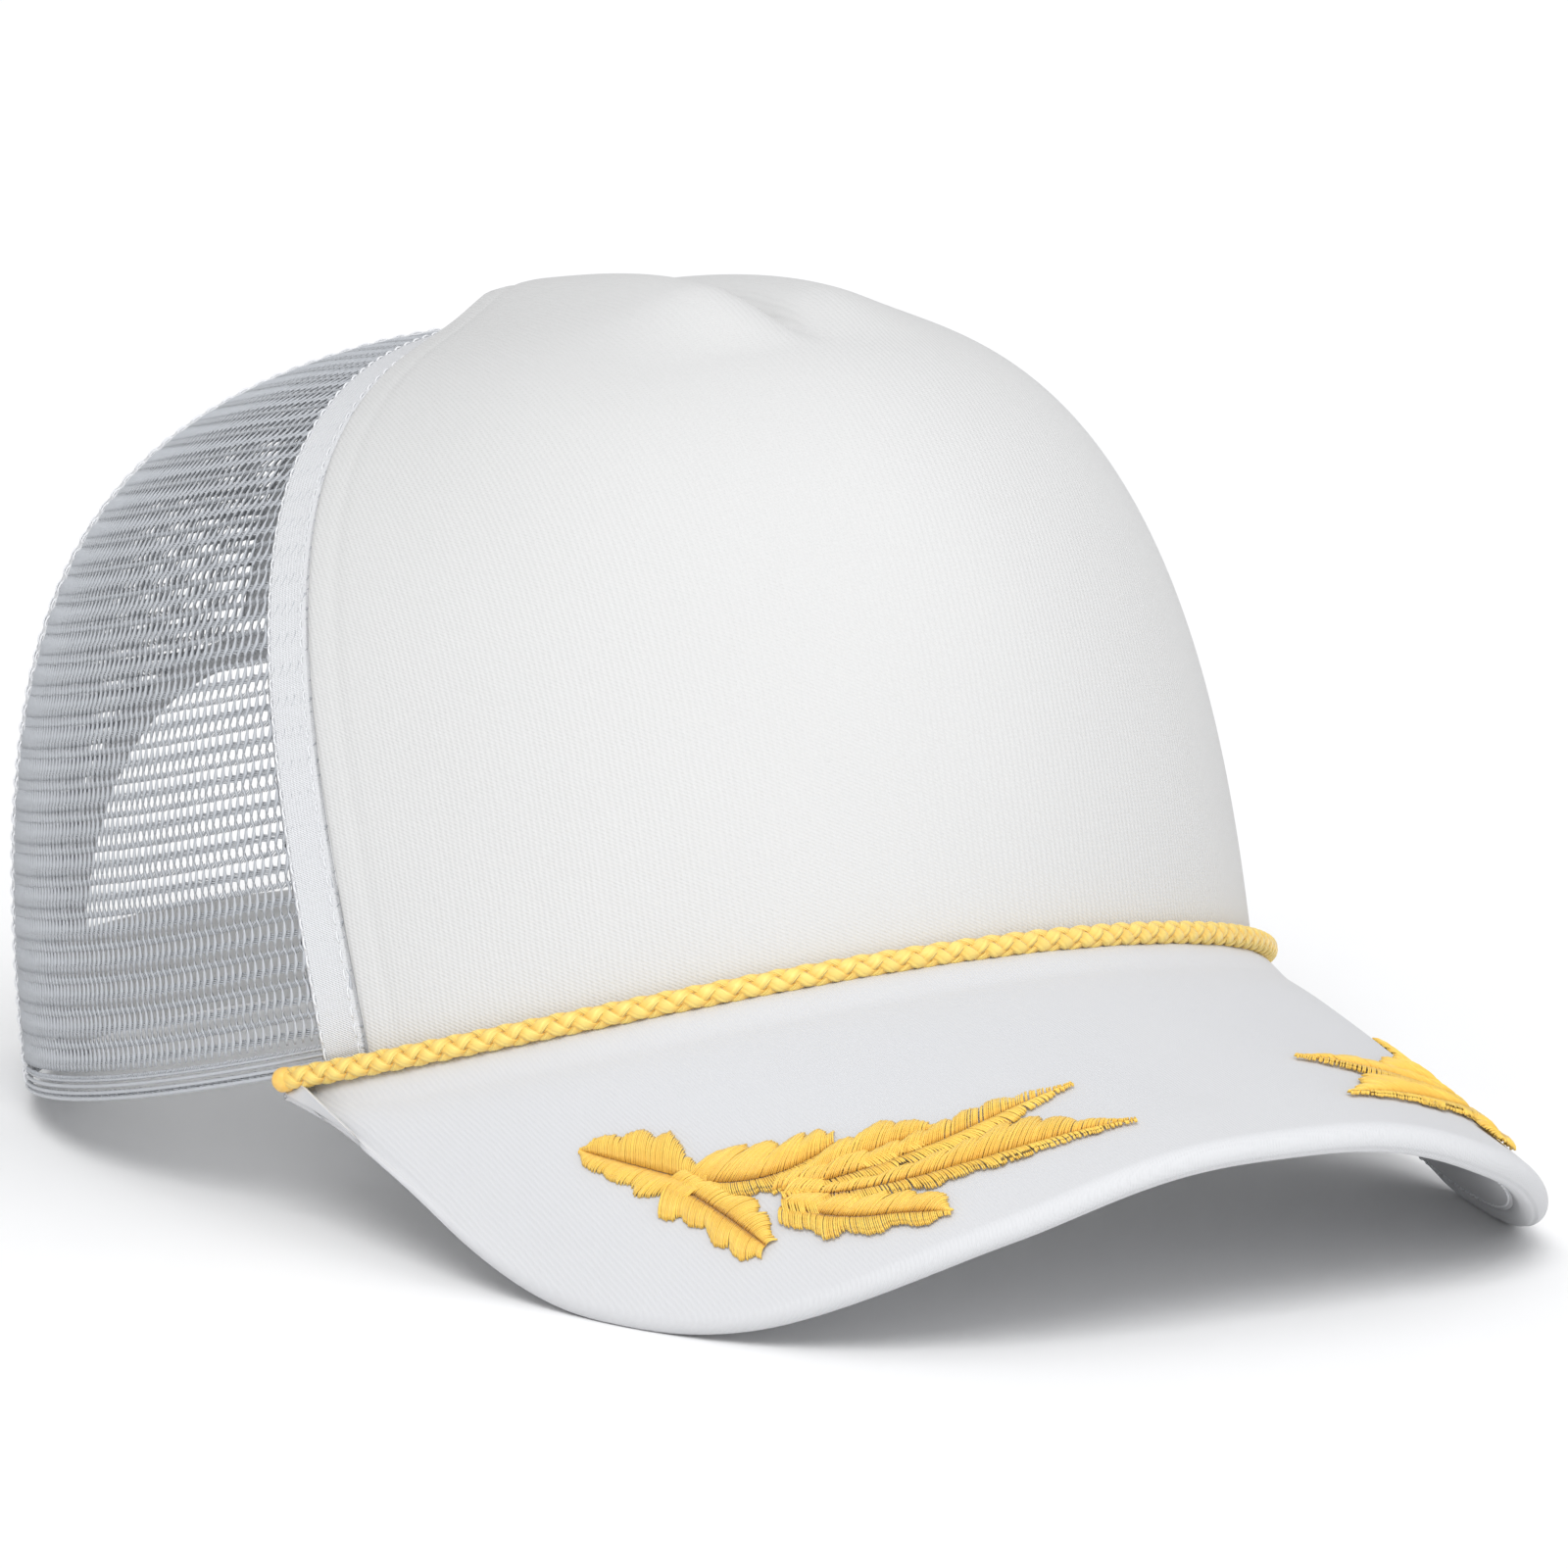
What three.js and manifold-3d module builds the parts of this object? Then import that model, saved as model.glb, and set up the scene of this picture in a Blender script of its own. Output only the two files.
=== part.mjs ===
// A five-panel trucker hat: foam front, net sides and back, curved visor, front rope and leaf embroidery.
// Millimetres, +Z up. The visor points to -Y and the wearer's left is +X.
// The hat is drawn with its rim level, then leaned forward until it rests on its back rim and visor.
import * as THREE from "three";
import Module from "manifold-3d";

const wasm = await Module();
wasm.setup();

// Crown sizes
const HEAD_WIDTH = 164.4;
const HEAD_LENGTH = 198.4;
const CROWN_HEIGHT = 95.3;
const CROWN_SET_BACK = 1.8;
const RIM_DIP = 8.6;
const FOAM_THICKNESS = 3;
const NET_THICKNESS = 1;
const FOAM_STEP = 0.8;
const FOAM_STEP_FADE = 25;
const CENTRE_HOLE_RADIUS = 3;

// Dart in the top of the front panel
const DART_END = 0.555;
const DART_RISE = 0.13;
const DART_VALLEY = 2.2;
const DART_LOBE = 4.4;
const DART_LOBE_DISTANCE = 10;

// Seams, as turns round the crown from the middle of the front
const FRONT_SEAM_TURN = 61;
const FRONT_SEAM_SWING = 5.7;
const FRONT_SEAM_SWING_HEIGHT = 0.58;
const SIDE_SEAM_TURN = 122;
const TAPE_WIDTH = 8;
const TAPE_THICKNESS = 1;
const TAPE_TOP = 0.92;

// Back opening and strap
const OPENING_HALF_WIDTH = 42;
const OPENING_HEIGHT = 52;
const BINDING_WIDTH = 4;
const BINDING_THICKNESS = 2.4;
const STRAP_HEIGHT = 16;
const STRAP_THICKNESS = 1.6;
const STRAP_RISE = 2;
const STRAP_OVERLAP = 11;

// Visor sizes
const VISOR_LENGTH = 61;
const VISOR_HALF_WIDTH = 79.2;
const VISOR_DROP = 43.6;
const VISOR_THICKNESS = 4.2;
const VISOR_END_TURN = 69.7;
const VISOR_LAST_STATION = 81;
const VISOR_TOP_SHARE = 0.57;
const VISOR_LIP = 4;
const VISOR_FRONT_SWELL = 0.4;
const VISOR_SIDE_SWELL = 2;
const VISOR_DRAW_IN = 0.2;
const VISOR_FULLNESS = 0.673;
const VISOR_CORNER = 12.8;

// Rope, button and embroidery
const ROPE_DIAMETER = 3.3;
const ROPE_END_TURN = 68.5;
const BUTTON_RADIUS = 7;
const BUTTON_HEIGHT = 4;
const BUTTON_STEM_CLEARANCE = 0.4;
const EMBROIDERY_THICKNESS = 1;

// Spaces between pieces, and how far the cloth is pressed flat where it rests
const GAP = 0.3;
const REST_FLAT = 0.3;

// Crown profile: where each meridian's curve pulls up and in, as shares of height and radius
const CROWN_PROFILE = {
  front: { rise: 0.906, reach: 0.732, flare: 0.006 },
  side: { rise: 0.735, reach: 0.717, flare: -0.007 },
  back: { rise: 0.767, reach: 0.803, flare: 0.019 },
};

// Visor edge: turn from the middle, and depth below the rim as a share of VISOR_DROP
const VISOR_EDGE = [
  { turn: 0, drop: 0.671 },
  { turn: 20, drop: 0.821 },
  { turn: 40, drop: 0.99 },
  { turn: 50, drop: 1 },
  { turn: 60, drop: 0.914 },
  { turn: 70, drop: 0.721 },
  { turn: 80, drop: 0.451 },
  { turn: 90, drop: 0.152 },
];

// Leaves of one sprig: turn round the visor and share of the way out for the root, bend and tip,
// half the leaf's width in millimetres, and how many lobes its sides have
const LEAVES = [
  { rootTurn: 38.4, rootOut: 0.634, midTurn: 42.1, midOut: 0.534, tipTurn: 45.9, tipOut: 0.434, half: 4.4, lobes: 3 },
  { rootTurn: 41.1, rootOut: 0.594, midTurn: 39.5, midOut: 0.72, tipTurn: 38.3, tipOut: 0.85, half: 4, lobes: 3 },
  { rootTurn: 39.9, rootOut: 0.605, midTurn: 34.2, midOut: 0.67, tipTurn: 26.9, tipOut: 0.635, half: 4.6, lobes: 3 },
  { rootTurn: 35, rootOut: 0.71, midTurn: 26.6, midOut: 0.69, tipTurn: 18.8, tipOut: 0.668, half: 4.2, lobes: 2 },
  { rootTurn: 35, rootOut: 0.72, midTurn: 20.9, midOut: 0.73, tipTurn: 7.1, tipOut: 0.657, half: 3.8, lobes: 3 },
  { rootTurn: 35, rootOut: 0.735, midTurn: 20, midOut: 0.815, tipTurn: 5.8, tipOut: 0.863, half: 4.4, lobes: 3 },
  { rootTurn: 35, rootOut: 0.757, midTurn: 29.8, midOut: 0.868, tipTurn: 23.5, tipOut: 0.94, half: 3.5, lobes: 3 },
];

const COLOURS = {
  foamFront: "#eceded",
  net: "#cdd2d8",
  tape: "#e6e7e9",
  visor: "#e4e6e8",
  rope: "#f6d071",
  embroidery: "#f2bb4e",
  strap: "#f1f1f1",
};

const radians = THREE.MathUtils.degToRad;
const lerp = THREE.MathUtils.lerp;
const fade = THREE.MathUtils.smoothstep;
const up = new THREE.Vector3(0, 0, 1);

function bezier(a, b, c, d, t) {
  const s = 1 - t;
  return s ** 3 * a + 3 * s * s * t * b + 3 * s * t * t * c + t ** 3 * d;
}

// A smooth curve through one column of a table, even about its first row.
function tableValue(rows, key, column, at) {
  const last = rows.length - 1;
  const row = (i) => rows[Math.min(Math.abs(i), last)];
  let i = 0;
  while (i < last - 1 && at > rows[i + 1][key]) i++;
  const t = (at - rows[i][key]) / (rows[i + 1][key] - rows[i][key]);
  const slope = (k) => {
    if (k === 0) return 0;
    const before = row(k - 1);
    const after = row(k + 1);
    return (after[column] - before[column]) / (after[key] - before[key]);
  };
  const span = rows[i + 1][key] - rows[i][key];
  const inner = span / 3;
  const a = rows[i][column];
  const d = rows[i + 1][column];
  return bezier(a, a + slope(i) * inner, d - slope(i + 1) * inner, d, t);
}

// Crown surface. Turn is the angle from the middle of the front, height runs from rim 0 to top 1.
function blendProfile(key, turn) {
  const c = Math.cos(turn);
  const front = c > 0 ? c * c : 0;
  const back = c < 0 ? c * c : 0;
  const { front: f, side: s, back: b } = CROWN_PROFILE;
  return f[key] * front + s[key] * (1 - front - back) + b[key] * back;
}

function rimDip(turn) {
  return RIM_DIP * Math.sin(turn) ** 2;
}

function crownPoint(turn, height) {
  const flare = blendProfile("flare", turn);
  const reach = blendProfile("reach", turn);
  const rise = blendProfile("rise", turn);
  const radius = bezier(1, 1 + flare, reach, 0, height);
  return new THREE.Vector3(
    (HEAD_WIDTH / 2) * radius * Math.sin(turn),
    (-HEAD_LENGTH / 2) * radius * Math.cos(turn) + CROWN_SET_BACK * fade(height, 0, 1),
    CROWN_HEIGHT * bezier(0, rise, 1, 1, height) - rimDip(turn) * (1 - height) ** 3,
  );
}

function crownNormal(turn, height) {
  const step = 1e-3;
  const across = crownPoint(turn + step, height).sub(crownPoint(turn - step, height));
  const along = crownPoint(turn, height + step).sub(crownPoint(turn, Math.max(height - step, 0)));
  return across.cross(along).normalize();
}

function turnFor(distance, turn, height) {
  const step = 1e-3;
  const across = crownPoint(turn + step, height).distanceTo(crownPoint(turn - step, height));
  return (distance * 2 * step) / across;
}

function frontSeam(height) {
  const swing = Math.sin(radians(90) * Math.min(height / FRONT_SEAM_SWING_HEIGHT, 1));
  return radians(FRONT_SEAM_TURN + FRONT_SEAM_SWING * swing);
}

const sideSeam = () => radians(SIDE_SEAM_TURN);
const backSeam = () => Math.PI;

// Height share at which the crown's radius has come in to the hole under the button.
function heightAtRadius(radius) {
  let low = 0;
  let high = 1;
  for (let i = 0; i < 40; i++) {
    const mid = (low + high) / 2;
    if (crownPoint(Math.PI / 2, mid).x > radius) low = mid;
    else high = mid;
  }
  return low;
}

const PANEL_TOP = heightAtRadius(CENTRE_HOLE_RADIUS);
const DART_TOP = heightAtRadius(BUTTON_RADIUS + 2 * GAP);
const DART_FADE = heightAtRadius(2.4 * BUTTON_RADIUS);

// The dart's two lobes with the valley between them.
function dartLift(turn, height) {
  const aside = Math.abs(crownPoint(turn, height).x) / DART_LOBE_DISTANCE;
  const lobe = DART_LOBE * aside * Math.exp((1 - aside * aside) / 2);
  const valley = -DART_VALLEY * Math.exp(-3 * aside);
  const along = fade(height, DART_END, DART_END + DART_RISE) * (1 - fade(height, DART_FADE, DART_TOP));
  return (lobe + valley) * along;
}

// The net lies a step below the foam beside the front seam.
function netSink(turn, height) {
  const seam = frontSeam(height);
  const away = (Math.abs(turn) - seam) / turnFor(1, seam, height);
  return FOAM_STEP * (1 - fade(away, 0, FOAM_STEP_FADE));
}

// Below the rope the crown's edge runs down behind the visor.
const HEM_DEPTH = ROPE_DIAMETER / 2 + GAP + VISOR_THICKNESS + GAP;
const HEM_END_TURN = VISOR_END_TURN + 3.3;

function hemDepth(turn) {
  const end = radians(HEM_END_TURN);
  return HEM_DEPTH * (1 - fade(Math.abs(turn), end - radians(14), end));
}

// Meshes: closed solids lofted through rings of points, each ring a closed outline.
function closedGeometry(points, triangles) {
  const geometry = new THREE.BufferGeometry().setFromPoints(points);
  let volume = 0;
  for (const [a, b, c] of triangles) {
    volume += points[a].dot(points[b].clone().cross(points[c]));
  }
  const faces = volume < 0 ? triangles.map(([a, b, c]) => [a, c, b]) : triangles;
  geometry.setIndex(faces.flat());
  geometry.computeVertexNormals();
  return geometry;
}

function loft(rings, cap) {
  const n = rings[0].length;
  const triangles = [];
  for (let j = 0; j + 1 < rings.length; j++) {
    for (let i = 0; i < n; i++) {
      const next = (i + 1) % n;
      const a = j * n + i;
      const b = j * n + next;
      triangles.push([a, b, b + n], [a, b + n, a + n]);
    }
  }
  const last = (rings.length - 1) * n;
  for (const [a, b, c] of cap) {
    triangles.push([c, b, a], [a + last, b + last, c + last]);
  }
  return closedGeometry(rings.flat(), triangles);
}

// Caps for a ring that runs out along one side and back along the other.
function stripCap(count) {
  const cap = [];
  for (let i = 0; i + 1 < count; i++) {
    const back = 2 * count - 1 - i;
    cap.push([i, i + 1, back], [i + 1, back - 1, back]);
  }
  return cap;
}

function fanCap(count) {
  const cap = [];
  for (let i = 1; i + 1 < count; i++) cap.push([0, i, i + 1]);
  return cap;
}

function solidOf(geometry) {
  return new wasm.Manifold(
    new wasm.Mesh({
      numProp: 3,
      vertProperties: new Float32Array(geometry.attributes.position.array),
      triVerts: new Uint32Array(geometry.index.array),
    }),
  );
}

function geometryOf(solid) {
  const mesh = solid.getMesh();
  const geometry = new THREE.BufferGeometry();
  geometry.setAttribute("position", new THREE.BufferAttribute(mesh.vertProperties, 3));
  geometry.setIndex(new THREE.BufferAttribute(mesh.triVerts, 1));
  geometry.computeVertexNormals();
  return geometry;
}

// Crown panels: a wall between two seams, from the rim to the hole under the button.
function panelGeometry({ from, to, thickness, lift, columns, rows, crowd = 0 }) {
  const heights = [];
  for (let j = 0; j < rows; j++) heights.push((DART_TOP * j) / (rows - 1));
  heights.push(PANEL_TOP);
  const ring = (height, drop) => {
    const start = from(height) + turnFor(GAP / 2, from(height), height);
    const end = to(height) - turnFor(GAP / 2, to(height), height);
    const outside = [];
    const inside = [];
    for (let i = 0; i <= columns; i++) {
      const v = (2 * i) / columns - 1;
      const share = (1 + (1 - crowd) * v + crowd * v ** 3) / 2;
      const turn = lerp(start, end, share);
      const normal = crownNormal(turn, height);
      const point = crownPoint(turn, height).addScaledVector(normal, lift(turn, height));
      if (drop) point.z -= hemDepth(turn);
      outside.push(point);
      inside.unshift(point.clone().addScaledVector(normal, -thickness));
    }
    return [...outside, ...inside];
  };
  const rings = heights.map((height) => ring(height, false));
  if (hemDepth((from(0) + to(0)) / 2) > 0 || hemDepth(from(0)) > 0 || hemDepth(to(0)) > 0) {
    rings[0] = ring(0, true);
    rings.splice(1, 0, ring(heights[1] / 3, false));
  }
  return loft(rings, stripCap(columns + 1));
}

function frontPanelGeometry() {
  return panelGeometry({
    from: (height) => -frontSeam(height),
    to: frontSeam,
    thickness: FOAM_THICKNESS,
    lift: dartLift,
    columns: 28,
    rows: 17,
    crowd: 0.4,
  });
}

function netPanelGeometry(from, to) {
  const lift = (turn, height) => -netSink(turn, height);
  return panelGeometry({ from, to, thickness: NET_THICKNESS, lift, columns: 10, rows: 13 });
}

// Turn and height of the back wall behind a point given by x and z.
function backWallAt(x, z) {
  let turn = Math.PI - Math.asin(x / (HEAD_WIDTH / 2));
  let height = z / CROWN_HEIGHT / 3;
  const step = 1e-4;
  for (let i = 0; i < 12; i++) {
    const here = crownPoint(turn, height);
    const byTurn = crownPoint(turn + step, height).sub(here).divideScalar(step);
    const byHeight = crownPoint(turn, height + step).sub(here).divideScalar(step);
    const det = byTurn.x * byHeight.z - byTurn.z * byHeight.x;
    const dx = x - here.x;
    const dz = z - here.z;
    turn += (dx * byHeight.z - dz * byHeight.x) / det;
    height += (dz * byTurn.x - dx * byTurn.z) / det;
  }
  return { turn, height };
}

function onBackWall(x, z, depth) {
  const { turn, height } = backWallAt(x, z);
  return crownPoint(turn, height).addScaledVector(crownNormal(turn, height), -depth);
}

function rimHeightAt(x) {
  return -RIM_DIP * (x / (HEAD_WIDTH / 2)) ** 2;
}

// The half-moon that is cut out of the two back panels, wide enough for its binding.
function openingCutter() {
  const margin = BINDING_WIDTH + GAP;
  const outline = new THREE.Shape();
  outline.absellipse(0, 0, OPENING_HALF_WIDTH + margin, OPENING_HEIGHT + margin, 0, Math.PI * 2);
  const depth = HEAD_LENGTH;
  const geometry = new THREE.ExtrudeGeometry(outline, { depth, bevelEnabled: false, curveSegments: 28 });
  geometry.rotateX(Math.PI / 2);
  geometry.translate(0, depth, 0);
  return solidOf(weld(geometry));
}

// Joins the repeated corners of a geometry so that it is one closed surface.
function weld(geometry) {
  const position = geometry.attributes.position;
  const seen = new Map();
  const points = [];
  const index = [];
  for (let i = 0; i < position.count; i++) {
    const point = new THREE.Vector3().fromBufferAttribute(position, i);
    const key = point.toArray().map((value) => Math.round(value * 1e4)).join();
    if (!seen.has(key)) {
      seen.set(key, points.length);
      points.push(point);
    }
    index.push(seen.get(key));
  }
  const order = geometry.index ? [...geometry.index.array].map((i) => index[i]) : index;
  const triangles = [];
  for (let i = 0; i < order.length; i += 3) {
    const [a, b, c] = order.slice(i, i + 3);
    if (a !== b && b !== c && c !== a) triangles.push([a, b, c]);
  }
  return closedGeometry(points, triangles);
}

function bindingGeometry() {
  const steps = 26;
  const outer = (BINDING_THICKNESS - NET_THICKNESS) / 2;
  const rings = [];
  for (let i = 0; i <= steps; i++) {
    const angle = (Math.PI * i) / steps;
    const at = (width, depth) => {
      const x = (OPENING_HALF_WIDTH + width) * Math.cos(angle);
      const foot = rimHeightAt(x) * (1 - Math.sin(angle));
      const z = (OPENING_HEIGHT + width) * Math.sin(angle) + foot;
      return onBackWall(x, z, depth);
    };
    rings.push([
      at(0, -outer),
      at(BINDING_WIDTH, -outer),
      at(BINDING_WIDTH, BINDING_THICKNESS - outer),
      at(0, BINDING_THICKNESS - outer),
    ]);
  }
  return loft(rings, fanCap(4));
}

function strapGeometry() {
  const steps = 22;
  const reach = OPENING_HALF_WIDTH + STRAP_OVERLAP;
  const near = BINDING_THICKNESS - (BINDING_THICKNESS - NET_THICKNESS) / 2 + GAP;
  const rings = [];
  for (let i = 0; i <= steps; i++) {
    const x = lerp(-reach, reach, i / steps);
    const low = rimHeightAt(x) + STRAP_RISE;
    rings.push([
      onBackWall(x, low, near),
      onBackWall(x, low + STRAP_HEIGHT, near),
      onBackWall(x, low + STRAP_HEIGHT, near + STRAP_THICKNESS),
      onBackWall(x, low, near + STRAP_THICKNESS),
    ]);
  }
  return loft(rings, fanCap(4));
}

// Seam tapes lie against the inside of the net.
function tapeGeometry({ seam, left, right, bottom }) {
  const rows = 14;
  const rings = [];
  for (let j = 0; j <= rows; j++) {
    const height = lerp(bottom, TAPE_TOP, j / rows);
    const at = (offset, depth) => {
      const turn = seam(height) + turnFor(offset, seam(height), height);
      const sink = netSink(turn, height) + NET_THICKNESS + GAP + depth;
      return crownPoint(turn, height).addScaledVector(crownNormal(turn, height), -sink);
    };
    rings.push([at(left, 0), at(right, 0), at(right, TAPE_THICKNESS), at(left, TAPE_THICKNESS)]);
  }
  return loft(rings, fanCap(4));
}

// Visor: its middle surface, by turn from the middle and share of the way out from the crown.
function visorEdge(turn) {
  const side = Math.abs(Math.sin(turn));
  const ahead = Math.max(Math.cos(turn), 0);
  const endX = (HEAD_WIDTH / 2) * Math.sin(radians(VISOR_END_TURN));
  const endY = (-HEAD_LENGTH / 2) * Math.cos(radians(VISOR_END_TURN));
  const across = VISOR_HALF_WIDTH * side ** VISOR_FULLNESS - (VISOR_HALF_WIDTH - endX) * side ** VISOR_CORNER;
  const drop = tableValue(VISOR_EDGE, "turn", "drop", Math.abs(THREE.MathUtils.radToDeg(turn)));
  return new THREE.Vector3(
    Math.sign(turn) * across,
    endY - (HEAD_LENGTH / 2 + VISOR_LENGTH + endY) * ahead,
    -VISOR_DROP * drop,
  );
}

function visorInnerEdge(turn) {
  const around = radians(VISOR_END_TURN) * Math.sin(turn);
  const rim = crownPoint(around, 0);
  const outward = new THREE.Vector3(rim.x, rim.y, 0).normalize();
  const below = ROPE_DIAMETER / 2 + GAP + VISOR_THICKNESS / 2;
  return rim.addScaledVector(outward, GAP).addScaledVector(up, -below);
}

function visorMiddle(turn, out) {
  const swell = 4 * out * (1 - out);
  const front = VISOR_FRONT_SWELL * Math.cos(turn) ** 2;
  const side = VISOR_SIDE_SWELL * Math.sin(2 * turn) ** 2;
  const point = visorInnerEdge(turn).lerp(visorEdge(turn), out);
  point.z += swell * (front + side);
  point.x -= swell * VISOR_DRAW_IN * Math.sin(turn);
  return point;
}

function visorNormal(turn, out) {
  const step = 1e-3;
  const across = visorMiddle(turn + step, out).sub(visorMiddle(turn - step, out));
  const along = visorMiddle(turn, out + step).sub(visorMiddle(turn, out - step));
  const normal = across.cross(along).normalize();
  if (normal.z < 0) normal.negate();
  return up.clone().lerp(normal, fade(out, 0, 0.3)).normalize();
}

function onVisor(turn, out, above) {
  return visorMiddle(turn, out).addScaledVector(visorNormal(turn, out), above);
}

// The rounded edge: angle 0 faces up, 180 faces down.
function onVisorRound(turn, angle) {
  const radius = VISOR_THICKNESS / 2;
  const edge = visorMiddle(turn, 1);
  const normal = visorNormal(turn, 1);
  const along = visorMiddle(turn + 1e-3, 1).sub(visorMiddle(turn - 1e-3, 1));
  const outward = along.cross(normal).normalize();
  if (outward.dot(edge.clone().sub(visorMiddle(turn, 0.9))) < 0) outward.negate();
  return edge
    .addScaledVector(normal, radius * Math.cos(angle))
    .addScaledVector(outward, radius * Math.sin(angle));
}

const VISOR_STATIONS = 30;

function visorTurn(station) {
  const v = (2 * station) / VISOR_STATIONS - 1;
  const share = Math.abs(v) ** 1.35 * (1.25 - 0.25 * Math.abs(v));
  return radians(VISOR_LAST_STATION) * Math.sign(v) * share;
}

const VISOR_OUTS = [0, 0.15, 0.32, 0.5, 0.68, 0.85, 1];
const VISOR_SPLIT = VISOR_THICKNESS * (0.5 - VISOR_TOP_SHARE);

// A width measured square to the visor's edge, as a share of the way out.
function shareAtEdge(turn, width) {
  const along = visorMiddle(turn + 1e-3, 1).sub(visorMiddle(turn - 1e-3, 1)).normalize();
  const outward = visorMiddle(turn, 1).sub(visorMiddle(turn, 0.9)).divideScalar(0.1);
  return width / outward.addScaledVector(along, -outward.dot(along)).length();
}

function lipOut(turn) {
  return 1 - Math.min(shareAtEdge(turn, VISOR_LIP), 0.5);
}

function visorTopGeometry() {
  const rings = [];
  for (let station = 0; station <= VISOR_STATIONS; station++) {
    const turn = visorTurn(station);
    const lip = lipOut(turn);
    const ring = VISOR_OUTS.slice(0, -1).map((out) => onVisor(turn, out, VISOR_THICKNESS / 2));
    for (let k = 0; k <= 5; k++) ring.push(onVisorRound(turn, (Math.PI * k) / 5));
    ring.push(onVisor(turn, lip, -VISOR_THICKNESS / 2));
    const inside = VISOR_OUTS.map((out) => onVisor(turn, out * lip, VISOR_SPLIT));
    rings.push([...ring, ...inside.reverse()]);
  }
  const outline = [];
  VISOR_OUTS.slice(0, -1).forEach((out) => outline.push(new THREE.Vector2(out * 10, 1)));
  for (let k = 0; k <= 5; k++) {
    const angle = (Math.PI * k) / 5;
    outline.push(new THREE.Vector2(10 + Math.sin(angle), Math.cos(angle)));
  }
  outline.push(new THREE.Vector2(9, -1));
  VISOR_OUTS.slice().reverse().forEach((out) => outline.push(new THREE.Vector2(out * 9, -0.2)));
  const cap = THREE.ShapeUtils.triangulateShape(outline, []).map((face) => face.sort((a, b) => a - b));
  return loft(rings, cap);
}

function visorUndersideGeometry() {
  const rings = [];
  for (let station = 0; station <= VISOR_STATIONS; station++) {
    const turn = visorTurn(station);
    const end = lipOut(turn) - shareAtEdge(turn, GAP);
    const above = VISOR_OUTS.map((out) => onVisor(turn, out * end, VISOR_SPLIT - GAP));
    const below = VISOR_OUTS.map((out) => onVisor(turn, out * end, -VISOR_THICKNESS / 2));
    rings.push([...below, ...above.reverse()]);
  }
  return loft(rings, stripCap(VISOR_OUTS.length));
}

// Rope along the joint between the crown and the visor, with rounded ends.
function ropeGeometry() {
  const steps = 44;
  const sides = 8;
  const radius = ROPE_DIAMETER / 2;
  const centre = (turn) => {
    const rim = crownPoint(turn, 0);
    const outward = new THREE.Vector3(rim.x, rim.y, 0).normalize();
    return rim.addScaledVector(outward, radius + GAP);
  };
  const rings = [];
  const ringAt = (turn, size, shift) => {
    const along = centre(turn + 1e-3).sub(centre(turn - 1e-3)).normalize();
    const side = along.clone().cross(up).normalize();
    const rise = side.clone().cross(along);
    const middle = centre(turn).addScaledVector(along, shift);
    const ring = [];
    for (let i = 0; i < sides; i++) {
      const angle = (2 * Math.PI * i) / sides;
      ring.push(
        middle
          .clone()
          .addScaledVector(side, size * Math.cos(angle))
          .addScaledVector(rise, size * Math.sin(angle)),
      );
    }
    return ring;
  };
  const end = radians(ROPE_END_TURN);
  rings.push(ringAt(-end, radius * 0.5, -radius * 0.8));
  for (let i = 0; i <= steps; i++) rings.push(ringAt(lerp(-end, end, i / steps), radius, 0));
  rings.push(ringAt(end, radius * 0.5, radius * 0.8));
  return loft(rings, fanCap(sides));
}

// A domed button whose stem goes down through the hole where the panels meet.
function buttonGeometry() {
  const stem = CENTRE_HOLE_RADIUS - BUTTON_STEM_CLEARANCE;
  const depth = FOAM_THICKNESS + GAP;
  const profile = [new THREE.Vector2(0, -depth), new THREE.Vector2(stem, -depth), new THREE.Vector2(stem, 0)];
  const edge = BUTTON_HEIGHT * 0.3;
  profile.push(new THREE.Vector2(BUTTON_RADIUS * 0.96, 0), new THREE.Vector2(BUTTON_RADIUS, edge));
  for (let k = 1; k <= 4; k++) {
    const angle = (Math.PI / 2) * (k / 4);
    const rise = (BUTTON_HEIGHT - edge) * Math.sin(angle);
    profile.push(new THREE.Vector2(k === 4 ? 0 : BUTTON_RADIUS * Math.cos(angle), edge + rise));
  }
  const geometry = new THREE.LatheGeometry(profile, 24);
  geometry.rotateX(Math.PI / 2);
  geometry.translate(0, CROWN_SET_BACK, crownPoint(0, 1).z + GAP);
  return weld(geometry);
}

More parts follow.
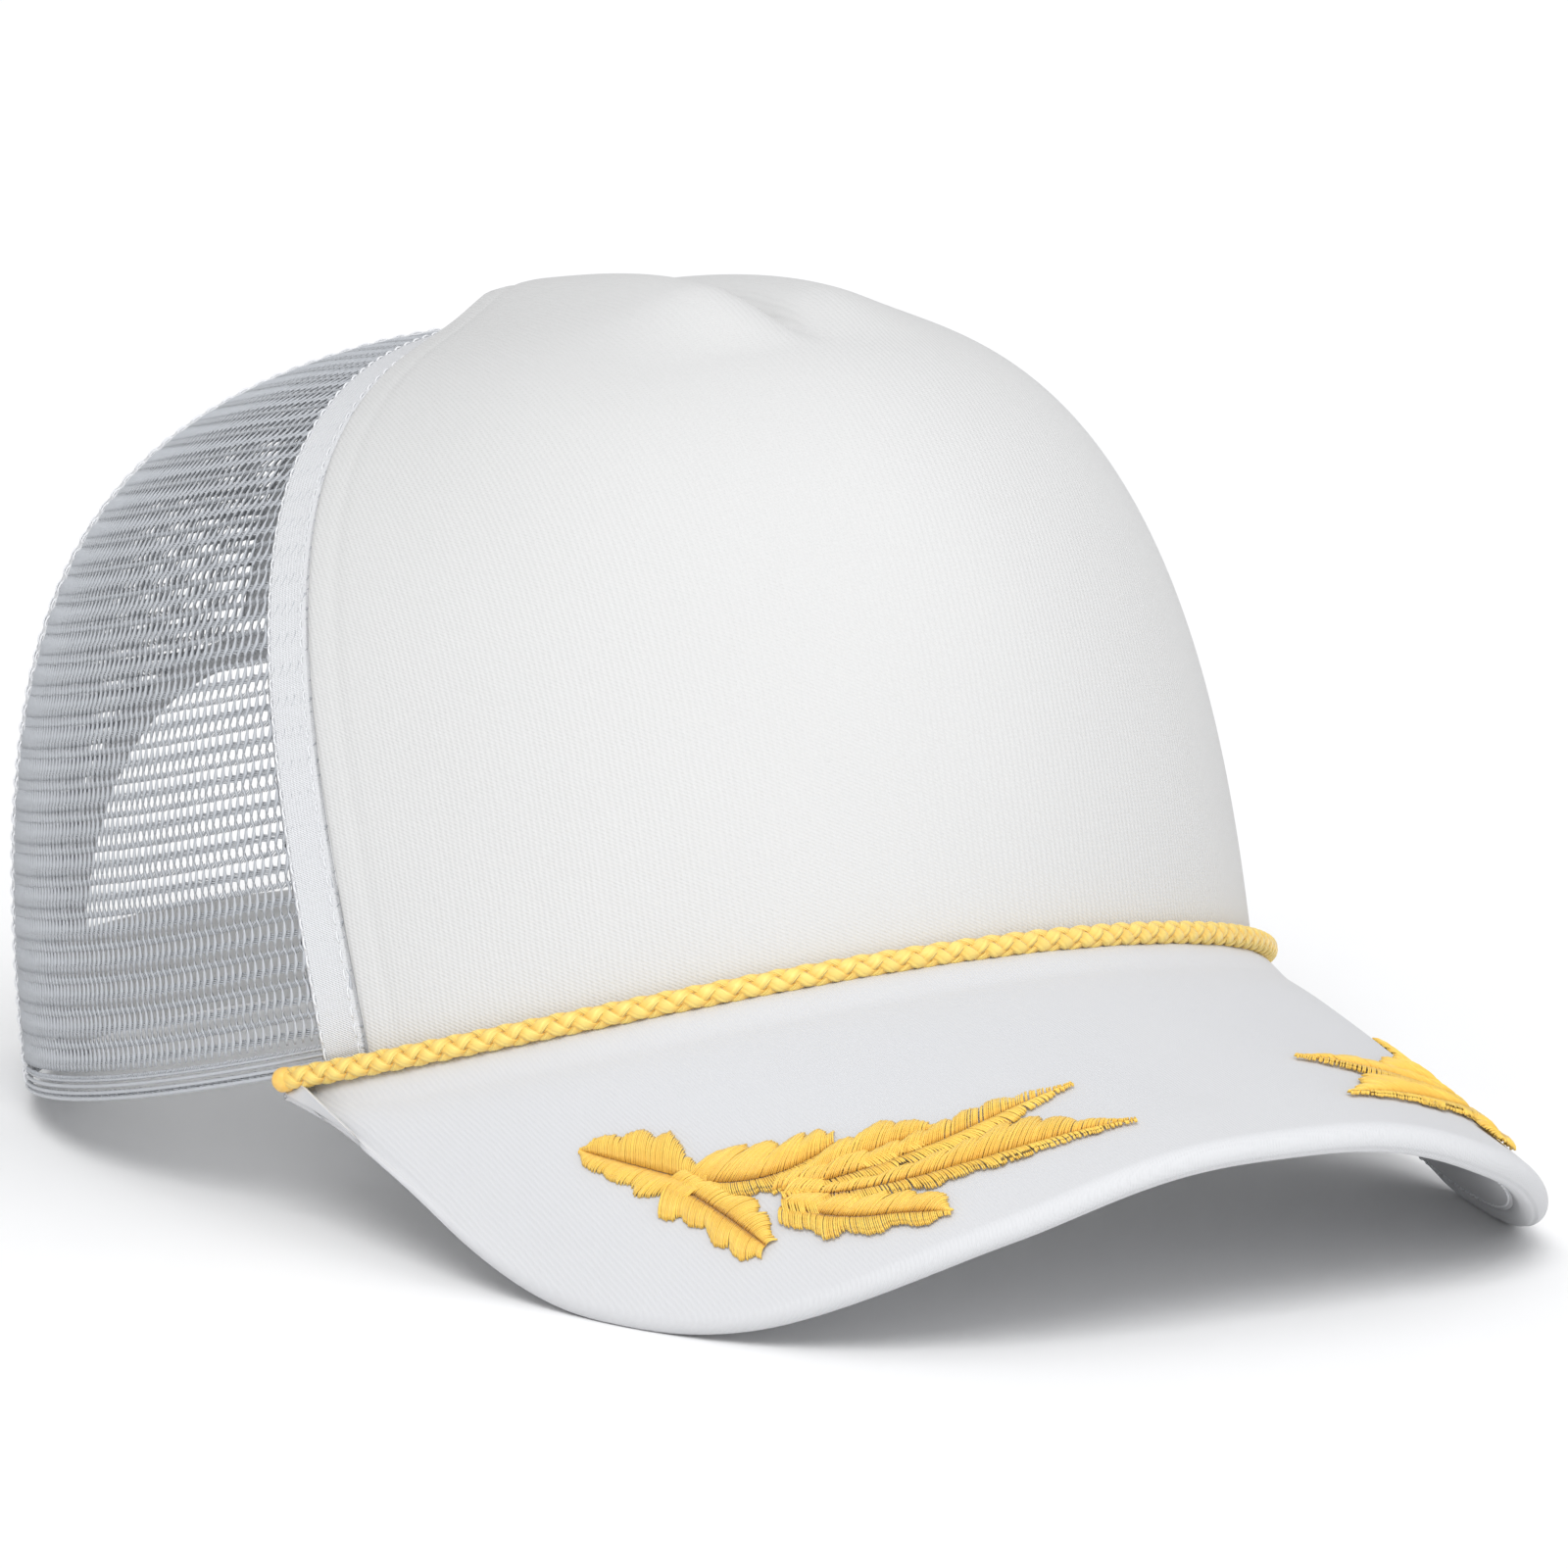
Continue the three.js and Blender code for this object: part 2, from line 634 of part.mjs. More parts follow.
// Embroidery: each leaf is a raised strip along its vein, and a sprig's leaves are joined.
function leafSolid(leaf, hand, order) {
  const steps = 9;
  const vein = (t) => ({
    turn: radians(bezier(leaf.rootTurn, leaf.midTurn, leaf.midTurn, leaf.tipTurn, t)) * hand,
    out: bezier(leaf.rootOut, leaf.midOut, leaf.midOut, leaf.tipOut, t),
  });
  const low = VISOR_THICKNESS / 2 + GAP;
  const high = low + EMBROIDERY_THICKNESS + order * 0.04;
  const place = (middle, across, width, above) => {
    const turnStep = 1e-3;
    const byTurn = visorMiddle(middle.turn + turnStep, middle.out).sub(visorMiddle(middle.turn, middle.out));
    const byOut = visorMiddle(middle.turn, middle.out + turnStep).sub(visorMiddle(middle.turn, middle.out));
    const a = byTurn.dot(byTurn);
    const b = byTurn.dot(byOut);
    const c = byOut.dot(byOut);
    const p = across.dot(byTurn) * width;
    const q = across.dot(byOut) * width;
    const det = (a * c - b * b) / turnStep;
    const turn = middle.turn + (p * c - q * b) / det;
    const out = middle.out + (q * a - p * b) / det;
    return onVisor(turn, out, above);
  };
  const rings = [];
  for (let i = 0; i <= steps; i++) {
    const t = lerp(0.02, 0.98, i / steps);
    const middle = vein(t);
    const ahead = vein(t + 0.01);
    const along = visorMiddle(ahead.turn, ahead.out).sub(visorMiddle(middle.turn, middle.out));
    const across = along.cross(visorNormal(middle.turn, middle.out)).normalize();
    const lobe = 1 + 0.16 * Math.cos(2 * Math.PI * leaf.lobes * t);
    const width = leaf.half * (0.12 + 0.88 * Math.sin(Math.PI * t ** 0.85)) * lobe;
    rings.push([
      place(middle, across, -width, high - 0.4),
      place(middle, across, 0, high),
      place(middle, across, width, high - 0.4),
      place(middle, across, width, low),
      place(middle, across, 0, low),
      place(middle, across, -width, low),
    ]);
  }
  const cap = [[0, 1, 5], [1, 4, 5], [1, 2, 4], [2, 3, 4]];
  return solidOf(loft(rings, cap));
}

function sprigGeometry(hand) {
  const leaves = LEAVES.map((leaf, order) => leafSolid(leaf, hand, order));
  return geometryOf(leaves.reduce((whole, leaf) => whole.add(leaf)));
}

// The hat leans forward until its back rim and the visor's edge touch the floor together.
function lowestBack(tilt) {
  const end = backWallAt(OPENING_HALF_WIDTH, rimHeightAt(OPENING_HALF_WIDTH)).turn;
  const foot = crownPoint(end, 0);
  return -foot.y * Math.sin(tilt) + foot.z * Math.cos(tilt);
}

function lowestVisor(tilt) {
  let lowest = Infinity;
  for (let turn = 30; turn <= 80; turn++) {
    const edge = visorEdge(radians(turn));
    const height = -edge.y * Math.sin(tilt) + edge.z * Math.cos(tilt) - VISOR_THICKNESS / 2;
    lowest = Math.min(lowest, height);
  }
  return lowest;
}

function findTilt() {
  let low = 0;
  let high = radians(40);
  for (let i = 0; i < 50; i++) {
    const mid = (low + high) / 2;
    if (lowestBack(mid) > lowestVisor(mid)) low = mid;
    else high = mid;
  }
  return low;
}

const tilt = findTilt();
const lift = -lowestBack(tilt) - REST_FLAT;

// Presses a piece flat where it rests on the floor.
function pressFlat(geometry) {
  const deep = 40;
  const wide = 2 * (HEAD_LENGTH + VISOR_LENGTH);
  const floor = wasm.Manifold.cube([wide, wide, deep], true)
    .translate([0, 0, -deep / 2 - lift])
    .rotate([THREE.MathUtils.radToDeg(tilt), 0, 0]);
  return geometryOf(solidOf(geometry).subtract(floor));
}

function backPanelGeometry(from, to) {
  const panel = solidOf(netPanelGeometry(from, to)).subtract(openingCutter());
  return pressFlat(geometryOf(panel));
}

// The assembled hat
const hat = new THREE.Group();
hat.name = "trucker_hat";

function add(name, geometry, colour, roughness = 0.9) {
  const material = new THREE.MeshStandardMaterial({ color: colour, roughness, metalness: 0 });
  const mesh = new THREE.Mesh(geometry, material);
  mesh.name = name;
  hat.add(mesh);
  return mesh;
}

const minus = (seam) => (height) => -seam(height);
const tapeBottom = 0.02;
const overOpening = backWallAt(0, OPENING_HEIGHT + BINDING_WIDTH).height + 2 / CROWN_HEIGHT;

add("front_panel", frontPanelGeometry(), COLOURS.foamFront);
add("side_panel_left", netPanelGeometry(frontSeam, sideSeam), COLOURS.net);
add("side_panel_right", netPanelGeometry(minus(sideSeam), minus(frontSeam)), COLOURS.net);
add("back_panel_left", backPanelGeometry(sideSeam, backSeam), COLOURS.net);
add("back_panel_right", backPanelGeometry(minus(backSeam), minus(sideSeam)), COLOURS.net);

for (const [side, hand] of [["left", 1], ["right", -1]]) {
  const ordered = (a, b) => ({ left: Math.min(a * hand, b * hand), right: Math.max(a * hand, b * hand) });
  const frontTape = { seam: (height) => hand * frontSeam(height), bottom: tapeBottom };
  const sideTape = { seam: () => hand * sideSeam(), bottom: tapeBottom };
  const beside = ordered(GAP / 2, TAPE_WIDTH);
  const astride = ordered(-TAPE_WIDTH / 2, TAPE_WIDTH / 2);
  add(`front_seam_tape_${side}`, tapeGeometry({ ...frontTape, ...beside }), COLOURS.tape);
  add(`side_seam_tape_${side}`, tapeGeometry({ ...sideTape, ...astride }), COLOURS.tape);
}
add(
  "back_seam_tape",
  tapeGeometry({ seam: backSeam, left: -TAPE_WIDTH / 2, right: TAPE_WIDTH / 2, bottom: overOpening }),
  COLOURS.tape,
);

add("opening_binding", pressFlat(bindingGeometry()), COLOURS.tape);
add("back_strap", strapGeometry(), COLOURS.strap, 0.45);
add("visor_top", pressFlat(visorTopGeometry()), COLOURS.visor);
add("visor_underside", visorUndersideGeometry(), COLOURS.visor);
add("rope", ropeGeometry(), COLOURS.rope, 0.7);
add("leaf_sprig_left", sprigGeometry(1), COLOURS.embroidery, 0.5);
add("leaf_sprig_right", sprigGeometry(-1), COLOURS.embroidery, 0.5);
add("top_button", buttonGeometry(), COLOURS.foamFront);

hat.rotation.x = -tilt;
hat.position.z = lift;
hat.updateMatrixWorld(true);
const box = new THREE.Box3().setFromObject(hat, true);
hat.position.y = -(box.min.y + box.max.y) / 2;
hat.position.z -= box.min.z;

export default hat;
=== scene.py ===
import math

import bpy
import numpy as np
from mathutils import Matrix, Vector


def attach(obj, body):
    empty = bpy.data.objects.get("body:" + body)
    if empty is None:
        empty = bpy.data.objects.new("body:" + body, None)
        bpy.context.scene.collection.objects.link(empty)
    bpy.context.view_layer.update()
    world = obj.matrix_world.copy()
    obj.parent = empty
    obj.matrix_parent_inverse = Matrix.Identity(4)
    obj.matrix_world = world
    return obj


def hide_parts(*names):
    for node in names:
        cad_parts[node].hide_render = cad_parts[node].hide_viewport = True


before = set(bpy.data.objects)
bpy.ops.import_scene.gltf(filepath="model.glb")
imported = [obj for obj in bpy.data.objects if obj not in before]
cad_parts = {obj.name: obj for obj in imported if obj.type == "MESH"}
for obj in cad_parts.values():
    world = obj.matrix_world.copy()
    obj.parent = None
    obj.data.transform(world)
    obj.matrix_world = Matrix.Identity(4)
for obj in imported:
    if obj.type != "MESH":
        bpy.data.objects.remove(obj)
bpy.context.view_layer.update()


# Front panel. One piece of foam faced with fine rib knit, cut to a tall front and closed at the top
# by a dart that runs down from the button. Its sides are turned under at the seams, and its lower
# edge runs down behind the visor.
HEAD_WIDTH = 164.4
HEAD_LENGTH = 198.4
CROWN_HEIGHT = 95.3
CROWN_SET_BACK = 1.8
RIM_DIP = 8.6
CROWN_PROFILE = {
    "front": {"rise": 0.906, "reach": 0.732, "flare": 0.006},
    "side": {"rise": 0.735, "reach": 0.717, "flare": -0.007},
    "back": {"rise": 0.767, "reach": 0.803, "flare": 0.019},
}
LEAN = math.radians(12.403424)
LEAN_SHIFT_Y = 30.429556
LEAN_SHIFT_Z = 20.208982
FOAM_THICKNESS = 3.0
GAP = 0.3
SEAM_TURN = 61.0
SEAM_SWING = 5.7
SEAM_SWING_HEIGHT = 0.58
DART_END = 0.555
DART_RISE = 0.13
DART_VALLEY = 2.2
DART_LOBE = 4.4
DART_LOBE_DISTANCE = 10.0
BUTTON_RADIUS = 7.0
ROPE_RADIUS = 1.65
ROPE_END_TURN = 68.5
HEM_END_TURN = 73.0
VISOR_THICKNESS = 4.2
FOAM_WHITE = (0.68, 0.68, 0.675)


def fade(value, low, high):
    t = np.clip((value - low) / (high - low), 0, 1)
    return t * t * (3 - 2 * t)


def bezier(a, b, c, d, t):
    s = 1 - t
    return s**3 * a + 3 * s * s * t * b + 3 * s * t * t * c + t**3 * d


def unit(vectors):
    return vectors / np.linalg.norm(vectors, axis=-1, keepdims=True).clip(1e-12)


def crown(turn, height):
    """Crown surface of the level hat, in millimetres.

    The turn is measured from the middle of the front. The height is 0 at the rim and 1 at the top.
    """
    turn, height = np.broadcast_arrays(np.asarray(turn, float), np.asarray(height, float))
    c = np.cos(turn)
    front = np.where(c > 0, c * c, 0)
    back = np.where(c < 0, c * c, 0)

    def profile(key):
        f, s, b = (CROWN_PROFILE[part][key] for part in ("front", "side", "back"))
        return f * front + s * (1 - front - back) + b * back

    radius = bezier(1, 1 + profile("flare"), profile("reach"), 0, height)
    x = HEAD_WIDTH / 2 * radius * np.sin(turn)
    y = -HEAD_LENGTH / 2 * radius * c + CROWN_SET_BACK * fade(height, 0, 1)
    dip = RIM_DIP * np.sin(turn) ** 2 * (1 - height) ** 3
    z = CROWN_HEIGHT * bezier(0, profile("rise"), 1, 1, height) - dip
    return np.stack([x, y, z], -1)


def crown_normal(turn, height):
    step = 1e-3
    across = crown(turn + step, height) - crown(turn - step, height)
    along = crown(turn, height + step) - crown(turn, np.maximum(height - step, 0))
    return unit(np.cross(across, along))


def mm_per_turn(turn, height):
    step = 1e-3
    return np.linalg.norm(crown(turn + step, height) - crown(turn - step, height), axis=-1) / (2 * step)


def front_seam(height):
    swing = np.sin(math.pi / 2 * np.minimum(np.asarray(height, float) / SEAM_SWING_HEIGHT, 1))
    return np.radians(SEAM_TURN + SEAM_SWING * swing)


def height_at_radius(radius):
    low, high = 0.0, 1.0
    for _ in range(40):
        middle = (low + high) / 2
        if crown(math.pi / 2, middle)[0] > radius:
            low = middle
        else:
            high = middle
    return low


PANEL_TOP = height_at_radius(3)
DART_TOP = height_at_radius(BUTTON_RADIUS + 2 * GAP)
DART_FADE = height_at_radius(2.4 * BUTTON_RADIUS)


def dart_lift(turn, height):
    across = crown(turn, height)[..., 0]
    aside = np.abs(across) / DART_LOBE_DISTANCE
    lobe = DART_LOBE * (1 - 0.35 * fade(across, 0, 8)) * aside * np.exp((1 - aside**2) / 2)
    valley = -DART_VALLEY * np.exp(-3 * aside) - 0.9 * np.exp(-((aside * 7) ** 2))
    along = fade(height, DART_END, DART_END + DART_RISE) * (1 - fade(height, DART_FADE, DART_TOP))
    return (lobe + valley) * along


def rested(points):
    """The level hat's millimetres as metres in the row frame, leaned forward onto its back rim and visor."""
    x, y, z = np.moveaxis(np.asarray(points, float), -1, 0)
    c, s = math.cos(LEAN), math.sin(LEAN)
    return np.stack([x, y * c + z * s + LEAN_SHIFT_Y, -y * s + z * c + LEAN_SHIFT_Z], -1) / 1000


def make_mesh(name, points, faces, cloth=None, shade_marks=None):
    """A smooth mesh object from points in hat millimetres and lists of three- and four-cornered faces."""
    corners = np.concatenate([f.ravel() for f in faces])
    sizes = np.concatenate([np.full(len(f), f.shape[1]) for f in faces])
    mesh = bpy.data.meshes.new(name)
    mesh.vertices.add(len(points))
    mesh.vertices.foreach_set("co", rested(points).astype(np.float32).ravel())
    mesh.loops.add(len(corners))
    mesh.loops.foreach_set("vertex_index", corners.astype(np.int32))
    mesh.polygons.add(len(sizes))
    mesh.polygons.foreach_set("loop_start", (np.cumsum(sizes) - sizes).astype(np.int32))
    mesh.update(calc_edges=True)
    mesh.shade_smooth()
    if cloth is not None:
        layer = mesh.uv_layers.new(name="cloth")
        layer.uv.foreach_set("vector", cloth[corners].astype(np.float32).ravel())
    # A float for each point that the material reads as painted shade.
    if shade_marks is not None:
        layer = mesh.attributes.new("shade_marks", "FLOAT", "POINT")
        layer.data.foreach_set("value", shade_marks.astype(np.float32))
    piece = bpy.data.objects.new(name, mesh)
    bpy.context.scene.collection.objects.link(piece)
    return piece


def grid_faces(rows, columns, wrap=False):
    """Faces of a grid of points in row order; wrap joins the last column to the first."""
    j, i = np.meshgrid(np.arange(rows - 1), np.arange(columns if wrap else columns - 1), indexing="ij")
    following = (i + 1) % columns
    low, high = j * columns, (j + 1) * columns
    return np.stack([low + i, low + following, high + following, high + i], -1).reshape(-1, 4)


def shell(outside, inside, cloth):
    """A closed wall from two matching grids of points, its outer and inner face."""
    rows, columns = outside.shape[:2]
    outer = grid_faces(rows, columns)
    count = rows * columns
    ring = np.concatenate([
        np.arange(columns),
        np.arange(1, rows) * columns + columns - 1,
        (rows - 1) * columns + np.arange(columns - 2, -1, -1),
        np.arange(rows - 2, 0, -1) * columns,
    ])
    following = np.roll(ring, -1)
    rim = np.stack([ring, ring + count, following + count, following], -1)
    points = np.concatenate([outside.reshape(-1, 3), inside.reshape(-1, 3)])
    flat = cloth.reshape(-1, 2)
    return points, [outer, outer[:, ::-1] + count, rim], np.concatenate([flat, flat])


def group_nodes(name, inputs, outputs):
    """An empty shader node group with named sockets, and its nodes."""
    group = bpy.data.node_groups.new(name, "ShaderNodeTree")
    for title, kind, value in inputs:
        socket = group.interface.new_socket(title, in_out="INPUT", socket_type=kind)
        if value is not None:
            socket.default_value = value
    for title, kind in outputs:
        group.interface.new_socket(title, in_out="OUTPUT", socket_type=kind)
    return group, group.nodes.new("NodeGroupInput"), group.nodes.new("NodeGroupOutput")


def calculate(tree, operation, *values):
    node = tree.nodes.new("ShaderNodeMath")
    node.operation = operation
    for i, value in enumerate(values):
        if isinstance(value, (int, float)):
            node.inputs[i].default_value = value
        else:
            tree.links.new(value, node.inputs[i])
    return node.outputs[0]


def mix_colour(tree, share, a, b, blend="MIX"):
    node = tree.nodes.new("ShaderNodeMix")
    node.data_type = "RGBA"
    node.blend_type = blend
    for socket, value in ((node.inputs[0], share), (node.inputs[6], a), (node.inputs[7], b)):
        if isinstance(value, (int, float)):
            socket.default_value = value
        elif isinstance(value, tuple):
            socket.default_value = (*value, 1)
        else:
            tree.links.new(value, socket)
    return node.outputs[2]


def noise(tree, vector, scale, detail=2.0, roughness=0.5):
    node = tree.nodes.new("ShaderNodeTexNoise")
    node.inputs["Scale"].default_value = scale
    node.inputs["Detail"].default_value = detail
    node.inputs["Roughness"].default_value = roughness
    tree.links.new(vector, node.inputs["Vector"])
    return node.outputs["Fac"]


# Rib knit: loops in columns, with a fainter slant across them, as height and as painted shade that
# darkens the knit where it is low. The cloth coordinates are in units of 100 mm.
rib_knit, knit_in, knit_out = group_nodes(
    "Rib knit",
    [
        ("Cloth", "NodeSocketVector", None),
        ("Rib width mm", "NodeSocketFloat", 0.9),
        ("Slant", "NodeSocketFloat", 0.35),
    ],
    [("Height", "NodeSocketFloat"), ("Shade", "NodeSocketFloat")],
)
tree = rib_knit
split = tree.nodes.new("ShaderNodeSeparateXYZ")
tree.links.new(knit_in.outputs["Cloth"], split.inputs[0])
wander = noise(tree, knit_in.outputs["Cloth"], 14, 2)
per_rib = calculate(tree, "DIVIDE", 100 * 2 * math.pi, knit_in.outputs["Rib width mm"])
straight = calculate(tree, "MULTIPLY", split.outputs[0], per_rib)
ribs = calculate(tree, "SINE", calculate(tree, "ADD", straight, calculate(tree, "MULTIPLY", wander, 5)))
lean_sum = calculate(tree, "ADD", calculate(tree, "MULTIPLY", split.outputs[0], 0.55), split.outputs[1])
per_course = calculate(tree, "MULTIPLY", per_rib, 1.7)
courses = calculate(tree, "SINE", calculate(tree, "MULTIPLY", lean_sum, per_course))
fuzz = noise(tree, knit_in.outputs["Cloth"], 420, 3, 0.7)
slanted = calculate(tree, "MULTIPLY", courses, knit_in.outputs["Slant"])
knit_sum = calculate(tree, "ADD", calculate(tree, "MULTIPLY", ribs, 0.5), slanted)
height_sum = calculate(tree, "ADD", knit_sum, calculate(tree, "MULTIPLY", fuzz, 1.4))
tree.links.new(height_sum, knit_out.inputs["Height"])
tree.links.new(calculate(tree, "MULTIPLY_ADD", height_sum, 0.2, 0.4), knit_out.inputs["Shade"])


def new_material(name, colour, roughness, sheen=0.0, sheen_roughness=0.4):
    """A material with its Principled shader and its node tree."""
    material = bpy.data.materials.new(name)
    material.use_nodes = True
    tree = material.node_tree
    shader = tree.nodes["Principled BSDF"]
    shader.inputs["Base Color"].default_value = (*colour, 1)
    shader.inputs["Roughness"].default_value = roughness
    shader.inputs["Specular IOR Level"].default_value = 0.3
    shader.inputs["Sheen Weight"].default_value = sheen
    shader.inputs["Sheen Roughness"].default_value = sheen_roughness
    return material, tree, shader


def use_group(tree, group, **values):
    node = tree.nodes.new("ShaderNodeGroup")
    node.node_tree = group
    for title, value in values.items():
        socket = node.inputs[title.replace("_", " ")]
        if isinstance(value, (int, float)):
            socket.default_value = value
        else:
            tree.links.new(value, socket)
    return node


def cloth_coordinates(tree):
    node = tree.nodes.new("ShaderNodeUVMap")
    node.uv_map = "cloth"
    return node.outputs["UV"]


def add_bump(tree, shader, height, distance, strength=1.0):
    bump = tree.nodes.new("ShaderNodeBump")
    bump.inputs["Distance"].default_value = distance
    bump.inputs["Strength"].default_value = strength
    tree.links.new(height, bump.inputs["Height"])
    tree.links.new(bump.outputs["Normal"], shader.inputs["Normal"])
    return bump


def knit_material(name, colour, rib_width, depth, slant=0.35):
    material, tree, shader = new_material(name, colour, 0.9, sheen=0.12, sheen_roughness=0.5)
    cloth = cloth_coordinates(tree)
    knit = use_group(tree, rib_knit, Cloth=cloth, Rib_width_mm=rib_width, Slant=slant)
    broad = noise(tree, cloth, 3.0, 2)
    # The knit's colour is painted shade where the knit is low, with a broad random tone over it.
    fine = calculate(tree, "MULTIPLY_ADD", knit.outputs["Shade"], 0.05, 0.93)
    shade = calculate(tree, "MULTIPLY_ADD", broad, 0.03, fine)
    tree.links.new(mix_colour(tree, 1.0, colour, shade, "MULTIPLY"), shader.inputs["Base Color"])
    add_bump(tree, shader, knit.outputs["Height"], depth)
    return material


foam_knit = knit_material("Foam faced with rib knit", FOAM_WHITE, 0.9, 0.00005)


def panel_grid(start, end, rows, columns, crowd=0.35):
    """Turns and heights of a panel's grid, with its columns closer together at both seams."""
    under_button = DART_TOP + (PANEL_TOP - DART_TOP) * np.array([0.34, 0.67, 1])
    heights = np.concatenate([DART_TOP * np.linspace(0, 1, rows - 3), under_button])
    v = np.linspace(-1, 1, columns)
    share = (1 + (1 - crowd) * v + crowd * np.sin(v * math.pi / 2)) / 2
    a = start(heights) + GAP / 2 / mm_per_turn(start(heights), heights)
    b = end(heights) - GAP / 2 / mm_per_turn(end(heights), heights)
    turn = a[:, None] + (b - a)[:, None] * share[None, :]
    return turn, np.repeat(heights[:, None], columns, 1)


def hem_depth(turn):
    end = math.radians(HEM_END_TURN)
    depth = ROPE_RADIUS + GAP + VISOR_THICKNESS + GAP
    return depth * (1 - fade(np.abs(turn), end - math.radians(14), end))


def build_front_panel():
    turn, height = panel_grid(lambda h: -front_seam(h), front_seam, 118, 170)
    edge = (front_seam(height) - np.abs(turn)) * mm_per_turn(turn, height) - GAP / 2
    roll = 1.4
    tucked = roll - np.sqrt(np.clip(roll**2 - np.clip(roll - edge, 0, roll) ** 2, 0, None))
    groove = 0.16 * np.exp(-(((edge - 5.4) / 0.8) ** 2)) * fade(height, 0, 0.03)
    normal = crown_normal(turn, height)
    ripple = 0.25 * np.sin(2.1 * turn + 5 * height) * np.sin(7 * height + 1) + 0.12 * np.sin(9 * turn + 4 * height)
    ripple = ripple * np.sin(math.pi * height) * fade(edge, 3, 20)
    lift = dart_lift(turn, height) - tucked - groove + ripple
    outside = crown(turn, height) + normal * lift[..., None]
    inside = outside - normal * np.minimum(FOAM_THICKNESS, FOAM_THICKNESS - 0.4 * tucked)[..., None]
    hem = hem_depth(turn[:1])[..., None] * np.array([0, 0, 1])
    outside = np.concatenate([outside[:1] - hem, outside])
    inside = np.concatenate([inside[:1] - hem, inside])
    across = turn * mm_per_turn(turn, height)
    steps = np.linalg.norm(np.diff(outside[1:], axis=0), axis=-1)
    up = np.concatenate([np.zeros((1, turn.shape[1])), np.cumsum(steps, 0)])
    cloth = np.stack([across, up], -1)
    cloth = np.concatenate([cloth[:1] - [0, 8], cloth]) / 100
    points, faces, flat = shell(outside, inside, cloth)
    return make_mesh("front_panel_foam", points, faces, flat)


front_panel = build_front_panel()
front_panel.data.materials.append(foam_knit)
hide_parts("front_panel")
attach(front_panel, "root")


# Net panels. Four pieces of warp-knitted net for the sides and the back. Upright chains of loops
# stand between rows of holes, and fine threads run from chain to chain, rising in one band and
# falling in the next.
SIDE_SEAM_TURN = 122.0
FOAM_STEP = 0.8
FOAM_STEP_FADE = 25.0
NET_PITCH = 1.48
NET_REPEAT = 4.55
CHAIN_RADIUS = 0.25
THREAD_RADIUS = 0.12
CHAIN_SWAY = 0.47
NET_WHITE = (0.5, 0.52, 0.55)
OPENING_HALF_WIDTH = 42.0
OPENING_HEIGHT = 52.0
BINDING_WIDTH = 4.0


def net_sink(turn, height):
    seam = front_seam(height)
    away = (np.abs(turn) - seam) * mm_per_turn(seam, height)
    return FOAM_STEP * (1 - fade(away, 0, FOAM_STEP_FADE))


def on_net(turn, height, depth):
    """Points of the net cloth, depth millimetres below the net's outer face."""
    return crown(turn, height) - crown_normal(turn, height) * (net_sink(turn, height) + depth)[..., None]


def tubes(paths, radii, sides=3, spin=0.0):
    """Closed tubes round many paths at once: paths (n, k, 3), radii (n, k)."""
    n, k = paths.shape[:2]
    along = unit(np.gradient(paths, axis=1))
    guide = unit(np.cross(along, np.array([0.31, 0.52, 0.79])))
    other = np.cross(along, guide)
    angle = 2 * math.pi * np.arange(sides) / sides + spin
    ring = guide[:, :, None] * np.cos(angle)[:, None] + other[:, :, None] * np.sin(angle)[:, None]
    points = paths[:, :, None] + ring * radii[:, :, None, None]
    one = grid_faces(k, sides, wrap=True)
    step = (np.arange(n) * k * sides)[:, None, None]
    quads = (one[None] + step).reshape(-1, 4)
    first = np.arange(sides)[None, ::-1] + step[:, 0]
    last = np.arange(sides)[None] + (k - 1) * sides + step[:, 0]
    return points.reshape(-1, 3), [quads, first, last]


def join(parts):
    """Several (points, faces) as one."""
    points, faces, start = [], [], 0
    for some, lists in parts:
        points.append(some)
        faces += [f + start for f in lists]
        start += len(some)
    return np.concatenate(points), faces


